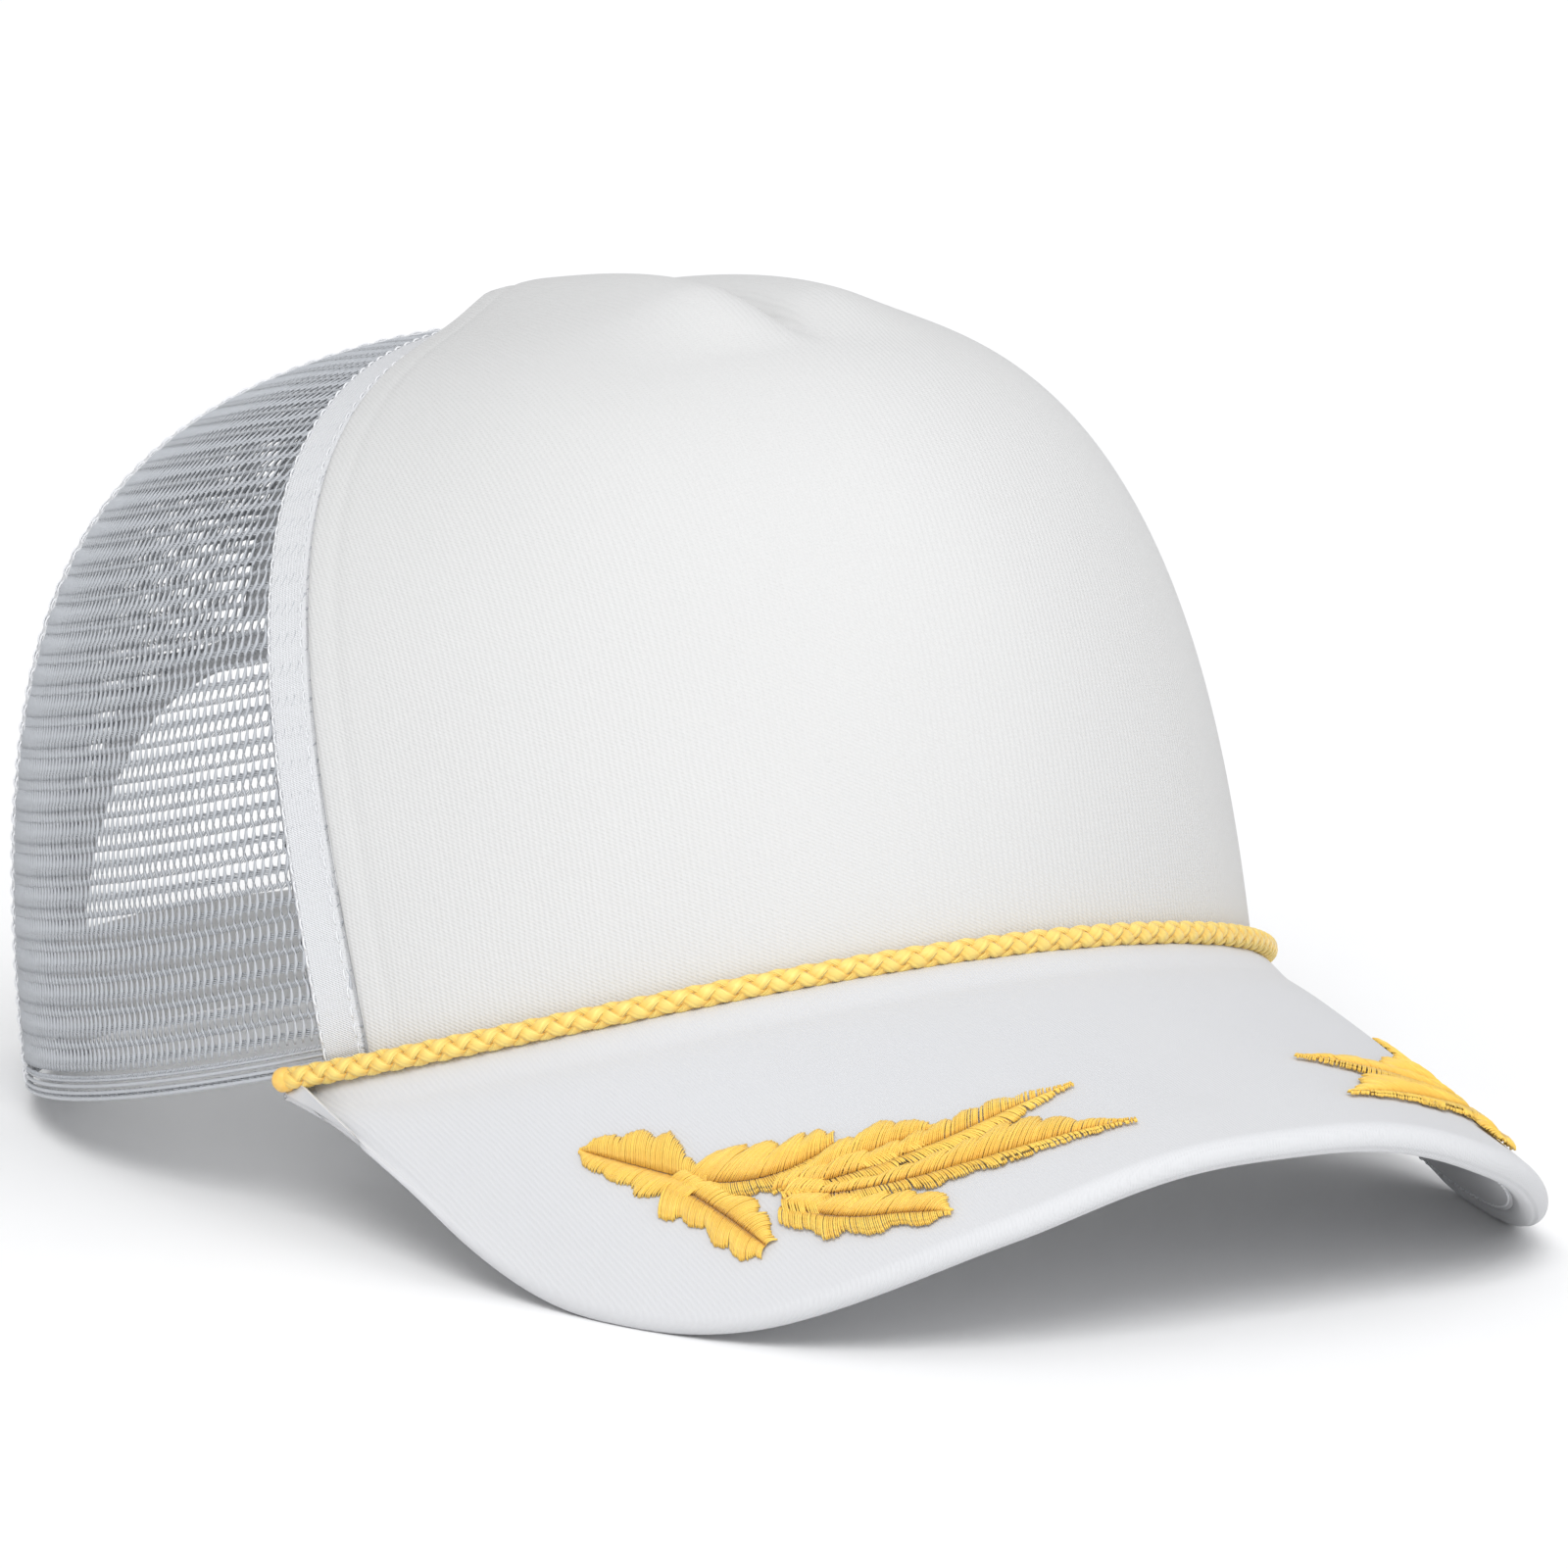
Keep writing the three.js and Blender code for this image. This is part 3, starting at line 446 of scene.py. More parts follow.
def net_panel(name, start, end, inset_start, inset_end, opening):
    middle = lambda h: (start(h) + end(h)) / 2
    heights = np.linspace(0, PANEL_TOP, 240)
    spine = crown(middle(heights), heights)
    climb = np.concatenate([[0], np.cumsum(np.linalg.norm(np.diff(spine, axis=0), axis=1))])
    reach = 70.0
    aside = np.linspace(-reach, reach, 281)
    turns = np.zeros((len(heights), len(aside)))
    for row, height in enumerate(heights):
        span = np.linspace(start(height) - 0.1, end(height) + 0.1, 160)
        gaps = np.linalg.norm(np.diff(crown(span, height), axis=0), axis=1)
        arc = np.concatenate([[0], np.cumsum(gaps)])
        arc -= np.interp(middle(height), span, arc)
        turns[row] = np.interp(aside, arc, span, left=span[0] - 9, right=span[-1] + 9)

    def place(a, b):
        """Turn and height of the cloth point a across and b up from the middle of the rim."""
        h = np.interp(b, climb, heights)
        row = np.clip(h / heights[-1] * (len(heights) - 1), 0, len(heights) - 1.001)
        column = np.clip((a + reach) / (2 * reach) * (len(aside) - 1), 0, len(aside) - 1.001)
        j, i = row.astype(int), column.astype(int)
        u, v = row - j, column - i
        low = turns[j, i] * (1 - v) + turns[j, i + 1] * v
        high = turns[j + 1, i] * (1 - v) + turns[j + 1, i + 1] * v
        return low * (1 - u) + high * u, h

    def inside(a, b, margin=0.0):
        turn, h = place(a, b)
        scale = mm_per_turn(turn, h)
        kept = ((turn - start(h)) * scale > inset_start - margin) & ((end(h) - turn) * scale > inset_end - margin)
        kept &= (b > 0.2) & (b < climb[-1] - 1)
        if opening:
            point = crown(turn, h)
            across = point[..., 0] / (OPENING_HALF_WIDTH + 0.8)
            kept &= (across**2 + (point[..., 2] / (OPENING_HEIGHT + 0.8)) ** 2 > 1) | (point[..., 1] < 0)
        return kept

    rng = np.random.default_rng(len(name))
    wales = np.arange(-int(reach / NET_PITCH), int(reach / NET_PITCH) + 1)
    rows = np.arange(0, int(climb[-1] / NET_REPEAT) + 1)
    wale, row = np.meshgrid(wales, rows, indexing="ij")
    a0 = (wale * NET_PITCH).ravel()
    b0 = (row * NET_REPEAT).ravel()
    jitter = rng.normal(0, 0.05, (len(wales), len(rows) + 1))

    # Chains: straight beside the oval holes, a step aside beside the other holes, and wider where
    # threads enter.
    share = np.array([0, 0.135, 0.3, 0.4, 0.54, 0.68, 0.865, 1.0])
    sway = CHAIN_SWAY * np.array([0, 0, 0.72, 1, 1, 1, 0, 0])
    girth = CHAIN_RADIUS * np.array([0.84, 1.2, 1.15, 1.4, 1.0, 0.8, 1.2, 0.84])
    start_jitter = np.stack([jitter[:, :-1].ravel(), jitter[:, 1:].ravel()], -1)
    wander = start_jitter[:, :1] * (1 - share) + start_jitter[:, 1:] * share
    a = a0[:, None] + sway[None, :] + wander
    b = b0[:, None] + share[None, :] * NET_REPEAT
    kept = inside(a, b).all(1)
    turn, h = place(a[kept], b[kept])
    parts = [tubes(on_net(turn, h, np.full_like(turn, 0.45)), np.repeat(girth[None], kept.sum(), 0))]

    def threads(from_b, to_b, wales_across, from_sway, to_sway, depth, radius):
        a1 = a0 + from_sway * CHAIN_SWAY
        a2 = a0 + wales_across * NET_PITCH + to_sway * CHAIN_SWAY
        samples = np.linspace(0, 1, wales_across + 1)
        a = a1[:, None] + (a2 - a1)[:, None] * samples[None] + rng.normal(0, 0.03, (len(a1), len(samples)))
        b = (b0 + from_b * NET_REPEAT)[:, None] + (to_b - from_b) * NET_REPEAT * samples[None]
        b = b + rng.normal(0, 0.035, (len(a1), 1))
        kept = inside(a, b, 0.5).all(1)
        turn, h = place(a[kept], b[kept])
        lie = depth + 0.08 * np.cos(math.pi * 2 * samples)[None] * np.ones((kept.sum(), 1))
        return tubes(on_net(turn, h, lie), np.full(turn.shape, radius), spin=0.4)

    # The dense band falls gently from chain to chain, and the open band climbs steeply.
    for i in range(4):
        high = 0.225 + 0.054 * i
        parts.append(threads(high, high - 0.075, 1, 0.2 + 0.25 * i, 0.1 + 0.25 * i, 0.4 + 0.04 * i, THREAD_RADIUS * 1.3))
    for i in range(4):
        along = 0.25 * i * NET_PITCH / CHAIN_SWAY
        parts.append(threads(0.685, 0.86, 1, 1 + along, along, 0.33 + 0.05 * i, THREAD_RADIUS * 0.9))

    # The rim: the net is folded under and knitted together into a narrow cord.
    hem_turn = np.linspace(float(start(0.0)), float(end(0.0)), 110)
    scale = mm_per_turn(hem_turn, 0.0)
    first = float(start(0.0) + (inset_start + 0.2) / scale[0])
    last = float(end(0.0) - (inset_end + 0.2) / scale[-1])
    hem_turn = np.linspace(first, last, 150)
    if opening:
        hem_turn = hem_turn[np.abs(crown(hem_turn, 0.0)[:, 0]) > OPENING_HALF_WIDTH + 4.2]
    for height, depth, radius in ((0.003, 0.45, 0.3), (0.0065, 0.4, 0.28), (0.0105, 0.45, 0.28), (0.014, 0.5, 0.2)):
        path = on_net(hem_turn, np.full(len(hem_turn), height), np.full(len(hem_turn), depth))
        parts.append(tubes(path[None], np.full((1, len(hem_turn)), radius), sides=5))
    points, faces = join(parts)
    return make_mesh(name, points, faces)


def thread_material(name, colour, roughness, variation=0.12, sheen=0.2):
    material, tree, shader = new_material(name, colour, roughness, sheen=sheen)
    place = tree.nodes.new("ShaderNodeTexCoord")
    grain = noise(tree, place.outputs["Object"], 900, 2)
    broad = noise(tree, place.outputs["Object"], 60, 2)
    share = calculate(tree, "MULTIPLY_ADD", calculate(tree, "ADD", grain, broad), variation, 1 - variation)
    tree.links.new(mix_colour(tree, 1.0, colour, share, "MULTIPLY"), shader.inputs["Base Color"])
    add_bump(tree, shader, noise(tree, place.outputs["Object"], 5000, 2), 0.00004)
    return material


net_thread = thread_material("Net thread", NET_WHITE, 0.45)
side_seam = lambda h: np.radians(SIDE_SEAM_TURN) + 0 * np.asarray(h, float)
back_seam = lambda h: math.pi + 0 * np.asarray(h, float)
minus = lambda seam: (lambda h: -seam(h))

for name, node, start, end, insets, opening in (
    ("side_net_left", "side_panel_left", front_seam, side_seam, (0.5, 0.4), False),
    ("side_net_right", "side_panel_right", minus(side_seam), minus(front_seam), (0.4, 0.5), False),
    ("back_net_left", "back_panel_left", side_seam, back_seam, (0.4, 0.4), True),
    ("back_net_right", "back_panel_right", minus(back_seam), minus(side_seam), (0.4, 0.4), True),
):
    net = net_panel(name, start, end, *insets, opening)
    net.data.materials.append(net_thread)
    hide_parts(node)
    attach(net, "root")


# Seam tapes. White woven tape sewn along the inside of each seam, with a row of stitches near
# each edge. The two beside the front panel show through the net.
TAPE_WIDTH = 8.0
TAPE_THICKNESS = 1.0
NET_THICKNESS = 1.0
TAPE_WHITE = (0.78, 0.79, 0.81)
TAPE_DEPTH = 0.2

tape_cloth = knit_material("Woven seam tape", TAPE_WHITE, 0.55, 0.00006, 0.6)


def tube_faces(rows, columns):
    """Faces of a closed tube: its rings of points joined up, and a cap at each end."""
    ring = np.arange(columns)[None]
    return [grid_faces(rows, columns, wrap=True), ring[:, ::-1], ring + (rows - 1) * columns]


def strip_sweep(name, centre_turn, heights, left, right, surface, thickness, material):
    """A flat strip with rounded edges that follows a seam."""
    half = (right - left) / 2
    across = left + half + np.linspace(-1, 1, 11)[1:-1] * half
    face = [(x, 0.0) for x in across]
    back = [(x, 1.0) for x in across[::-1]]
    profile = np.array([(left, 0.5)] + face + [(right, 0.5)] + back)
    turn = centre_turn(heights)
    scale = mm_per_turn(turn, heights)
    t = turn[:, None] + profile[None, :, 0] / scale[:, None]
    h = np.repeat(heights[:, None], len(profile), 1)
    depth = profile[None, :, 1] * thickness
    points = surface(t, h, depth + 0 * t)
    rows, columns = points.shape[:2]
    climb = np.concatenate([[0], np.cumsum(np.linalg.norm(np.diff(points[:, 3], axis=0), axis=-1))])
    cloth = np.stack(np.broadcast_arrays(profile[None, :, 0], climb[:, None]), -1).reshape(-1, 2) / 100
    piece = make_mesh(name, points.reshape(-1, 3), tube_faces(rows, columns), cloth)
    piece.data.materials.append(material)
    return piece


def behind_net(turn, height, depth):
    return on_net(turn, height, depth + TAPE_DEPTH)


def stitches(along, gap_share=0.25, radius=0.16, dip=0.12, pitch=2.6):
    """Short threads in a row along a path, each bowed up in its middle. A path is points and normals."""
    points, normals = along
    steps = np.linalg.norm(np.diff(points, axis=0), axis=1)
    arc = np.concatenate([[0], np.cumsum(steps)])
    count = max(int(arc[-1] / pitch), 1)
    s = (np.arange(count)[:, None] + np.linspace(gap_share / 2, 1 - gap_share / 2, 5)[None]) * pitch
    at = lambda data: np.stack([np.interp(s, arc, data[:, k]) for k in range(3)], -1)
    bow = dip * np.array([-1.4, 0.5, 1, 0.5, -1.4])[None, :, None]
    return tubes(at(points) + at(normals) * bow, np.full(s.shape, radius), sides=4)


def tape_with_stitches(name, node, seam, left, right, low):
    heights = np.linspace(low, 0.92, 120)
    tape = strip_sweep(name, seam, heights, left, right, behind_net, TAPE_THICKNESS, tape_cloth)
    rows = []
    for offset in (left + 1.0, right - 1.0):
        turn = seam(heights) + offset / mm_per_turn(seam(heights), heights)
        path = on_net(turn, heights, np.full(len(heights), 0.12))
        rows.append(stitches((path, crown_normal(turn, heights))))
    thread = make_mesh(name + "_stitches", *join(rows))
    thread.data.materials.append(seam_thread)
    for piece in (tape, thread):
        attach(piece, "root")
    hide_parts(node)


seam_thread = thread_material("White sewing thread", (0.84, 0.85, 0.87), 0.5, 0.08)
tape_low = 0.004
for side, hand in (("left", 1), ("right", -1)):
    seam = lambda h, hand=hand: hand * front_seam(h)
    reach = sorted((hand * 0.15, hand * TAPE_WIDTH))
    tape_with_stitches(f"front_tape_{side}", f"front_seam_tape_{side}", seam, *reach, tape_low)
    seam = lambda h, hand=hand: hand * side_seam(h)
    tape_with_stitches(f"side_tape_{side}", f"side_seam_tape_{side}", seam, -TAPE_WIDTH / 2, TAPE_WIDTH / 2, tape_low)


# Back opening. A half-moon cut out of the two back panels. A woven binding is folded over its cut
# edge, and one plain moulded plastic strap crosses below it.
BINDING_THICKNESS = 2.4
STRAP_HEIGHT = 16.0
STRAP_THICKNESS = 1.6
STRAP_RISE = 2.0
STRAP_OVERLAP = 11.0


def back_wall(x, z):
    """Turn and height of the back wall behind the points given by x and z."""
    turn = math.pi - np.arcsin(x / (HEAD_WIDTH / 2))
    height = z / CROWN_HEIGHT / 3
    step = 1e-4
    for _ in range(14):
        here = crown(turn, height)
        by_turn = (crown(turn + step, height) - here) / step
        by_height = (crown(turn, height + step) - here) / step
        det = by_turn[..., 0] * by_height[..., 2] - by_turn[..., 2] * by_height[..., 0]
        dx, dz = x - here[..., 0], z - here[..., 2]
        turn = turn + (dx * by_height[..., 2] - dz * by_height[..., 0]) / det
        height = height + (dz * by_turn[..., 0] - dx * by_turn[..., 2]) / det
    return turn, height


def on_back_wall(x, z, depth):
    turn, height = back_wall(x, z)
    return crown(turn, height) - crown_normal(turn, height) * depth[..., None]


def rim_height(x):
    return -RIM_DIP * (x / (HEAD_WIDTH / 2)) ** 2


def pressed(grid):
    """Cloth pressed flat where it rests on the floor."""
    low = 0.0001 - rested(grid)[..., 2]
    return grid + np.array([0, 0, 1]) * np.clip(low, 0, 1)[..., None] * 1000


def swept(name, grid, material, cloth):
    """A tube through a grid of points, one ring in each row."""
    faces = tube_faces(*grid.shape[:2])
    piece = make_mesh(name, grid.reshape(-1, 3), faces, cloth.reshape(-1, 2) / 100)
    piece.data.materials.append(material)
    return piece


def rounded_section(sides, squareness):
    """A rounded rectangle from -1 to 1 both ways."""
    angle = 2 * math.pi * np.arange(sides) / sides
    c, s = np.cos(angle), np.sin(angle)
    return np.sign(c) * np.abs(c) ** squareness, np.sign(s) * np.abs(s) ** squareness


def build_binding():
    u, v = rounded_section(20, 0.55)
    angle = np.linspace(0, math.pi, 200)[:, None]
    width = BINDING_WIDTH / 2 * (1 + u[None])
    x = (OPENING_HALF_WIDTH + width) * np.cos(angle)
    z = (OPENING_HEIGHT + width) * np.sin(angle) + rim_height(x) * (1 - np.sin(angle))
    outer = (BINDING_THICKNESS - NET_THICKNESS) / 2
    grid = on_back_wall(x, z, -outer + BINDING_THICKNESS / 2 * (1 + v[None]) + 0 * x)
    cloth = np.stack(np.broadcast_arrays(width * 2 + 3 * v[None], angle * 45), -1)
    return swept("opening_binding_tape", pressed(grid), tape_cloth, cloth)


def build_strap():
    u, v = rounded_section(28, 0.35)
    reach = OPENING_HALF_WIDTH + STRAP_OVERLAP
    x = np.linspace(-1, 1, 160)[:, None]
    taper = np.sqrt(np.clip(1 - np.clip((np.abs(x) - 0.93) / 0.07, 0, 1) ** 2.5, 0.02, 1))
    x = x * reach + 0 * u[None]
    z = rim_height(x) + STRAP_RISE + STRAP_HEIGHT / 2 * (1 + u[None] * taper)
    near = BINDING_THICKNESS - (BINDING_THICKNESS - NET_THICKNESS) / 2 + GAP
    grid = on_back_wall(x, z, near + STRAP_THICKNESS / 2 * (1 + v[None]) + 0 * x)
    return swept("back_strap_plastic", grid, strap_plastic, np.stack([x, z], -1))


strap_plastic, tree, shader = new_material("Moulded strap plastic", (0.84, 0.84, 0.84), 0.38)
place = tree.nodes.new("ShaderNodeTexCoord")
add_bump(tree, shader, noise(tree, place.outputs["Object"], 2600, 3), 0.00003)
flow = noise(tree, place.outputs["Object"], 35, 2)
tree.links.new(mix_colour(tree, flow, (0.85, 0.85, 0.84), (0.8, 0.8, 0.8)), shader.inputs["Base Color"])
tree.links.new(calculate(tree, "MULTIPLY_ADD", flow, 0.2, 0.3), shader.inputs["Roughness"])

over_opening = float(back_wall(np.array(0.0), np.array(OPENING_HEIGHT + BINDING_WIDTH))[1]) + 2 / CROWN_HEIGHT
tape_with_stitches("back_tape", "back_seam_tape", back_seam, -TAPE_WIDTH / 2, TAPE_WIDTH / 2, over_opening)
for piece, node, finish in ((build_binding(), "opening_binding", "tape"), (build_strap(), "back_strap", "strap_plastic")):
    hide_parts(node)
    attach(piece, "root")


# Button. A low domed shell covered with the same knit as the front, gathered under its edge.
def build_button():
    rings, sides = 26, 72
    share = np.linspace(0, 1, rings)[:, None]
    angle = 2 * math.pi * np.arange(sides)[None] / sides
    out = np.sin(share * math.pi / 2 * 1.25)
    rise = np.cos(share * math.pi / 2 * 1.25)
    gather = 1 + 0.012 * np.cos(9 * angle) * share**4
    radius = BUTTON_RADIUS * out * gather
    z = 1.5 + 2.6 * rise + 0 * angle
    top = crown(0.0, 1.0)[2] + GAP
    x, y = radius * np.sin(angle), CROWN_SET_BACK - radius * np.cos(angle)
    dome = np.stack([x, y, top + np.maximum(z, 0.15)], -1)
    points = dome.reshape(-1, 3)
    faces = [grid_faces(rings, sides, wrap=True), (np.arange(sides) + (rings - 1) * sides)[None]]
    cloth = points[:, :2] / 100
    return make_mesh("button_cover", points, faces, cloth)


button = build_button()
button.data.materials.append(foam_knit)
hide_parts("top_button")
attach(button, "root")


# Visor. A curved board between two layers of foam-backed knit. The upper layer is drawn round the
# rounded front edge, and the lower layer meets it just under the edge, along a row of stitches.
VISOR_LENGTH = 61.0
VISOR_HALF_WIDTH = 79.2
VISOR_DROP = 43.6
VISOR_END_TURN = 69.7
VISOR_LAST_STATION = 87.5
VISOR_TOP_SHARE = 0.57
VISOR_LIP = 1.6
VISOR_SEAM_GAP = 0.12
VISOR_FRONT_SWELL = 0.4
VISOR_SIDE_SWELL = 2.0
VISOR_DRAW_IN = 0.2
VISOR_FULLNESS = 0.673
VISOR_CORNER = 12.8
VISOR_EDGE_TURNS = (0, 20, 40, 50, 60, 70, 80, 90)
VISOR_EDGE_DROPS = (0.671, 0.821, 0.99, 1, 0.914, 0.721, 0.451, 0.152)
VISOR_WHITE = (0.665, 0.67, 0.685)


def edge_drop(degrees):
    """Depth of the visor's edge by turn, a smooth curve through the table."""
    keys = np.array([-20, *VISOR_EDGE_TURNS], float)
    values = np.array([VISOR_EDGE_DROPS[1], *VISOR_EDGE_DROPS])
    slopes = np.zeros(len(keys))
    slopes[1:-1] = (values[2:] - values[:-2]) / (keys[2:] - keys[:-2])
    slopes[1] = 0
    slopes[-1] = (values[-1] - values[-2]) / (keys[-1] - keys[-2])
    i = np.clip(np.searchsorted(keys, degrees, side="right") - 1, 1, len(keys) - 2)
    span = keys[i + 1] - keys[i]
    t = (degrees - keys[i]) / span
    a, d = values[i], values[i + 1]
    return bezier(a, a + slopes[i] * span / 3, d - slopes[i + 1] * span / 3, d, t)


def visor_edge(turn):
    side = np.abs(np.sin(turn))
    ahead = np.maximum(np.cos(turn), 0)
    end_x = HEAD_WIDTH / 2 * math.sin(math.radians(VISOR_END_TURN))
    end_y = -HEAD_LENGTH / 2 * math.cos(math.radians(VISOR_END_TURN))
    across = VISOR_HALF_WIDTH * side**VISOR_FULLNESS - (VISOR_HALF_WIDTH - end_x) * side**VISOR_CORNER
    y = end_y - (HEAD_LENGTH / 2 + VISOR_LENGTH + end_y) * ahead
    return np.stack([np.sign(turn) * across, y, -VISOR_DROP * edge_drop(np.abs(np.degrees(turn)))], -1)


def visor_middle(turn, out):
    turn, out = np.broadcast_arrays(np.asarray(turn, float), np.asarray(out, float))
    rim = crown(math.radians(VISOR_END_TURN) * np.sin(turn), 0.0)
    level = rim * np.array([1, 1, 0])
    inner = rim + unit(level) * GAP - np.array([0, 0, ROPE_RADIUS + GAP + VISOR_THICKNESS / 2])
    point = inner + (visor_edge(turn) - inner) * out[..., None]
    swell = 4 * out * (1 - out)
    lift = swell * (VISOR_FRONT_SWELL * np.cos(turn) ** 2 + VISOR_SIDE_SWELL * np.sin(2 * turn) ** 2)
    return point + np.stack([-swell * VISOR_DRAW_IN * np.sin(turn), 0 * turn, lift], -1)


def visor_normal(turn, out):
    step = 1e-3
    across = visor_middle(turn + step, out) - visor_middle(turn - step, out)
    along = visor_middle(turn, out + step) - visor_middle(turn, out - step)
    turned = np.broadcast_to(np.asarray(turn, float), across.shape[:-1])
    at_end = fade(np.abs(turned), math.radians(62), math.radians(79))[..., None]
    aside = unit(np.stack([0.45 * np.sign(turned), 0 * turned, 1 + 0 * turned], -1))
    normal = unit(unit(np.cross(along, across)) * (1 - at_end) + aside * at_end)
    share = fade(np.asarray(out, float), 0, 0.3)[..., None]
    return unit(np.array([0, 0, 1]) * (1 - share) + normal * share)


def on_visor(turn, out, above):
    return visor_middle(turn, out) + visor_normal(turn, out) * np.asarray(above, float)[..., None]


def visor_round(turn, angle, radius):
    """The rounded edge: angle 0 faces up, pi faces down."""
    edge = visor_middle(turn, 1.0 + 0 * turn)
    normal = visor_normal(turn, 1.0 + 0 * turn)
    along = visor_middle(turn + 1e-3, 1.0 + 0 * turn) - visor_middle(turn - 1e-3, 1.0 + 0 * turn)
    outward = unit(np.cross(along, normal))
    inward = visor_middle(turn, 0.9 + 0 * turn) - edge
    outward = outward * np.where((outward * inward).sum(-1, keepdims=True) > 0, -1, 1)
    return edge + normal * (radius * np.cos(angle))[..., None] + outward * (radius * np.sin(angle))[..., None]


def share_at_edge(turn, width):
    """A width measured square to the visor's edge, as a share of the way out."""
    along = unit(visor_middle(turn + 1e-3, 1.0) - visor_middle(turn - 1e-3, 1.0))
    outward = (visor_middle(turn, 1.0) - visor_middle(turn, 0.9)) / 0.1
    square = outward - along * (outward * along).sum(-1, keepdims=True)
    return width / np.linalg.norm(square, axis=-1)


def visor_layers():
    stations = 170
    v = np.linspace(-1, 1, stations)
    share = np.abs(v) ** 1.35 * (1.25 - 0.25 * np.abs(v))
    turn = (math.radians(VISOR_LAST_STATION) * np.sign(v) * share)[:, None]
    lip = 1 - np.minimum(share_at_edge(turn, VISOR_LIP), 0.5)
    # Towards its two ends the visor thins out below its upper face.
    half = VISOR_THICKNESS / 2
    thin = 1 - 0.8 * fade(np.abs(turn), math.radians(60), math.radians(79))
    raised = half * (1 - thin)
    outs = np.linspace(0, 1, 74)[None, :-1]
    # A slight crease runs along the middle of the front, and the cloth is drawn up under the rope.
    place = visor_middle(turn, outs)
    crease_reach = fade(outs, 0.45, 0.7) * (1 - fade(outs, 0.75, 0.9))
    crease = -0.22 * np.exp(-((place[..., 0] + 6) / 5.0) ** 2) * crease_reach
    at_rope = 1 - fade(np.abs(turn), 1.1, 1.4)
    drawn_up = (1.3 + 0.05 * np.sin(turn * 46)) * (1 - fade(outs, 0.035, 0.13)) * at_rope
    top = on_visor(turn + 0 * outs, outs + 0 * turn, half + crease + drawn_up)
    angle = np.linspace(0, math.pi, 25)[None]
    seam = 0.22 * np.exp(-(((angle - 2.15) / 0.09) ** 2))
    shift = visor_normal(turn, 1.0 + 0 * turn) * raised[..., None]
    bend = visor_round(turn + 0 * angle, angle + 0 * turn, (half - seam) * thin) + shift
    lower = on_visor(turn, lip, raised - half * thin)
    split = raised + VISOR_THICKNESS * (0.5 - VISOR_TOP_SHARE) * thin
    within = np.linspace(1, 0, 10)[None]
    inside = on_visor(turn + 0 * within, lip * within, split + 0 * within)
    upper = np.concatenate([top, bend, lower, inside], 1)
    end = lip - share_at_edge(turn, VISOR_SEAM_GAP)
    above = on_visor(turn + 0 * within, end * within, split - GAP * thin + 0 * within)
    outward = np.linspace(0, 1, 60)[None]
    below = on_visor(turn + 0 * outward, end * outward, raised - half * thin + 0 * outward)
    under = np.concatenate([above, below], 1)
    return upper, under


def visor_cloth(grid):
    return np.stack([grid[..., 0], -grid[..., 1]], -1)


def edge_stitches():
    """A row of stitches just inside the edge, on the underside."""
    turn = np.radians(np.linspace(-62, 62, 500))
    share = 1 - share_at_edge(turn, VISOR_LIP + 0.9)
    path = on_visor(turn, share, np.full(len(turn), -VISOR_THICKNESS / 2 - 0.05))
    return make_mesh("visor_edge_stitches", *stitches((path, -visor_normal(turn, share)), pitch=2.1))


visor_knit = knit_material("Visor knit", VISOR_WHITE, 0.45, 0.00003, 0.3)
upper, under = visor_layers()
upper_piece = swept("visor_upper_cloth", pressed(upper), visor_knit, visor_cloth(upper))
under_piece = swept("visor_under_cloth", pressed(under), visor_knit, visor_cloth(under))
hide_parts("visor_top")
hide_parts("visor_underside")
edge_thread = edge_stitches()
edge_thread.data.materials.append(seam_thread)
for piece in (upper_piece, under_piece, edge_thread):
    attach(piece, "root")


# Rope. A round braid of flat glossy cords, three running each way round, sewn down along the joint
# between the front panel and the visor. Its two ends are melted into smooth rounded tips.
BRAID_PITCH = 11.4
BRAID_RADIUS = 0.98
BRAID_WAVE = 0.2
CORD_COUNT = 3
CORD_WIDTH = 0.98
CORD_DEPTH = 0.5
CORE_RADIUS = 1.05
ROPE_YELLOW = (0.99, 0.74, 0.21)
# The darker orange below is painted shade: the cords take it where they dive under the others, and the core between
# them is wholly in it. The melted tips' material starts from it before its own colours are linked in.
ROPE_SHADED_ORANGE = (0.88, 0.46, 0.07)


def rope_centre(turn):
    rim = crown(turn, 0.0)
    outward = unit(rim * np.array([1, 1, 0]))
    return rim + outward * (ROPE_RADIUS + GAP)


def rope_frame():
    """Centre line by arc length, with its outward and upward directions."""
    end = math.radians(ROPE_END_TURN)
    turn = np.linspace(-end, end, 1600)
    centre = rope_centre(turn)
    arc = np.concatenate([[0], np.cumsum(np.linalg.norm(np.diff(centre, axis=0), axis=1))])
    along = unit(np.gradient(centre, axis=0))
    outward = unit(np.cross(along, np.array([0, 0, 1.0])))
    rise = np.cross(outward, along)
    return arc, centre, outward, rise, along


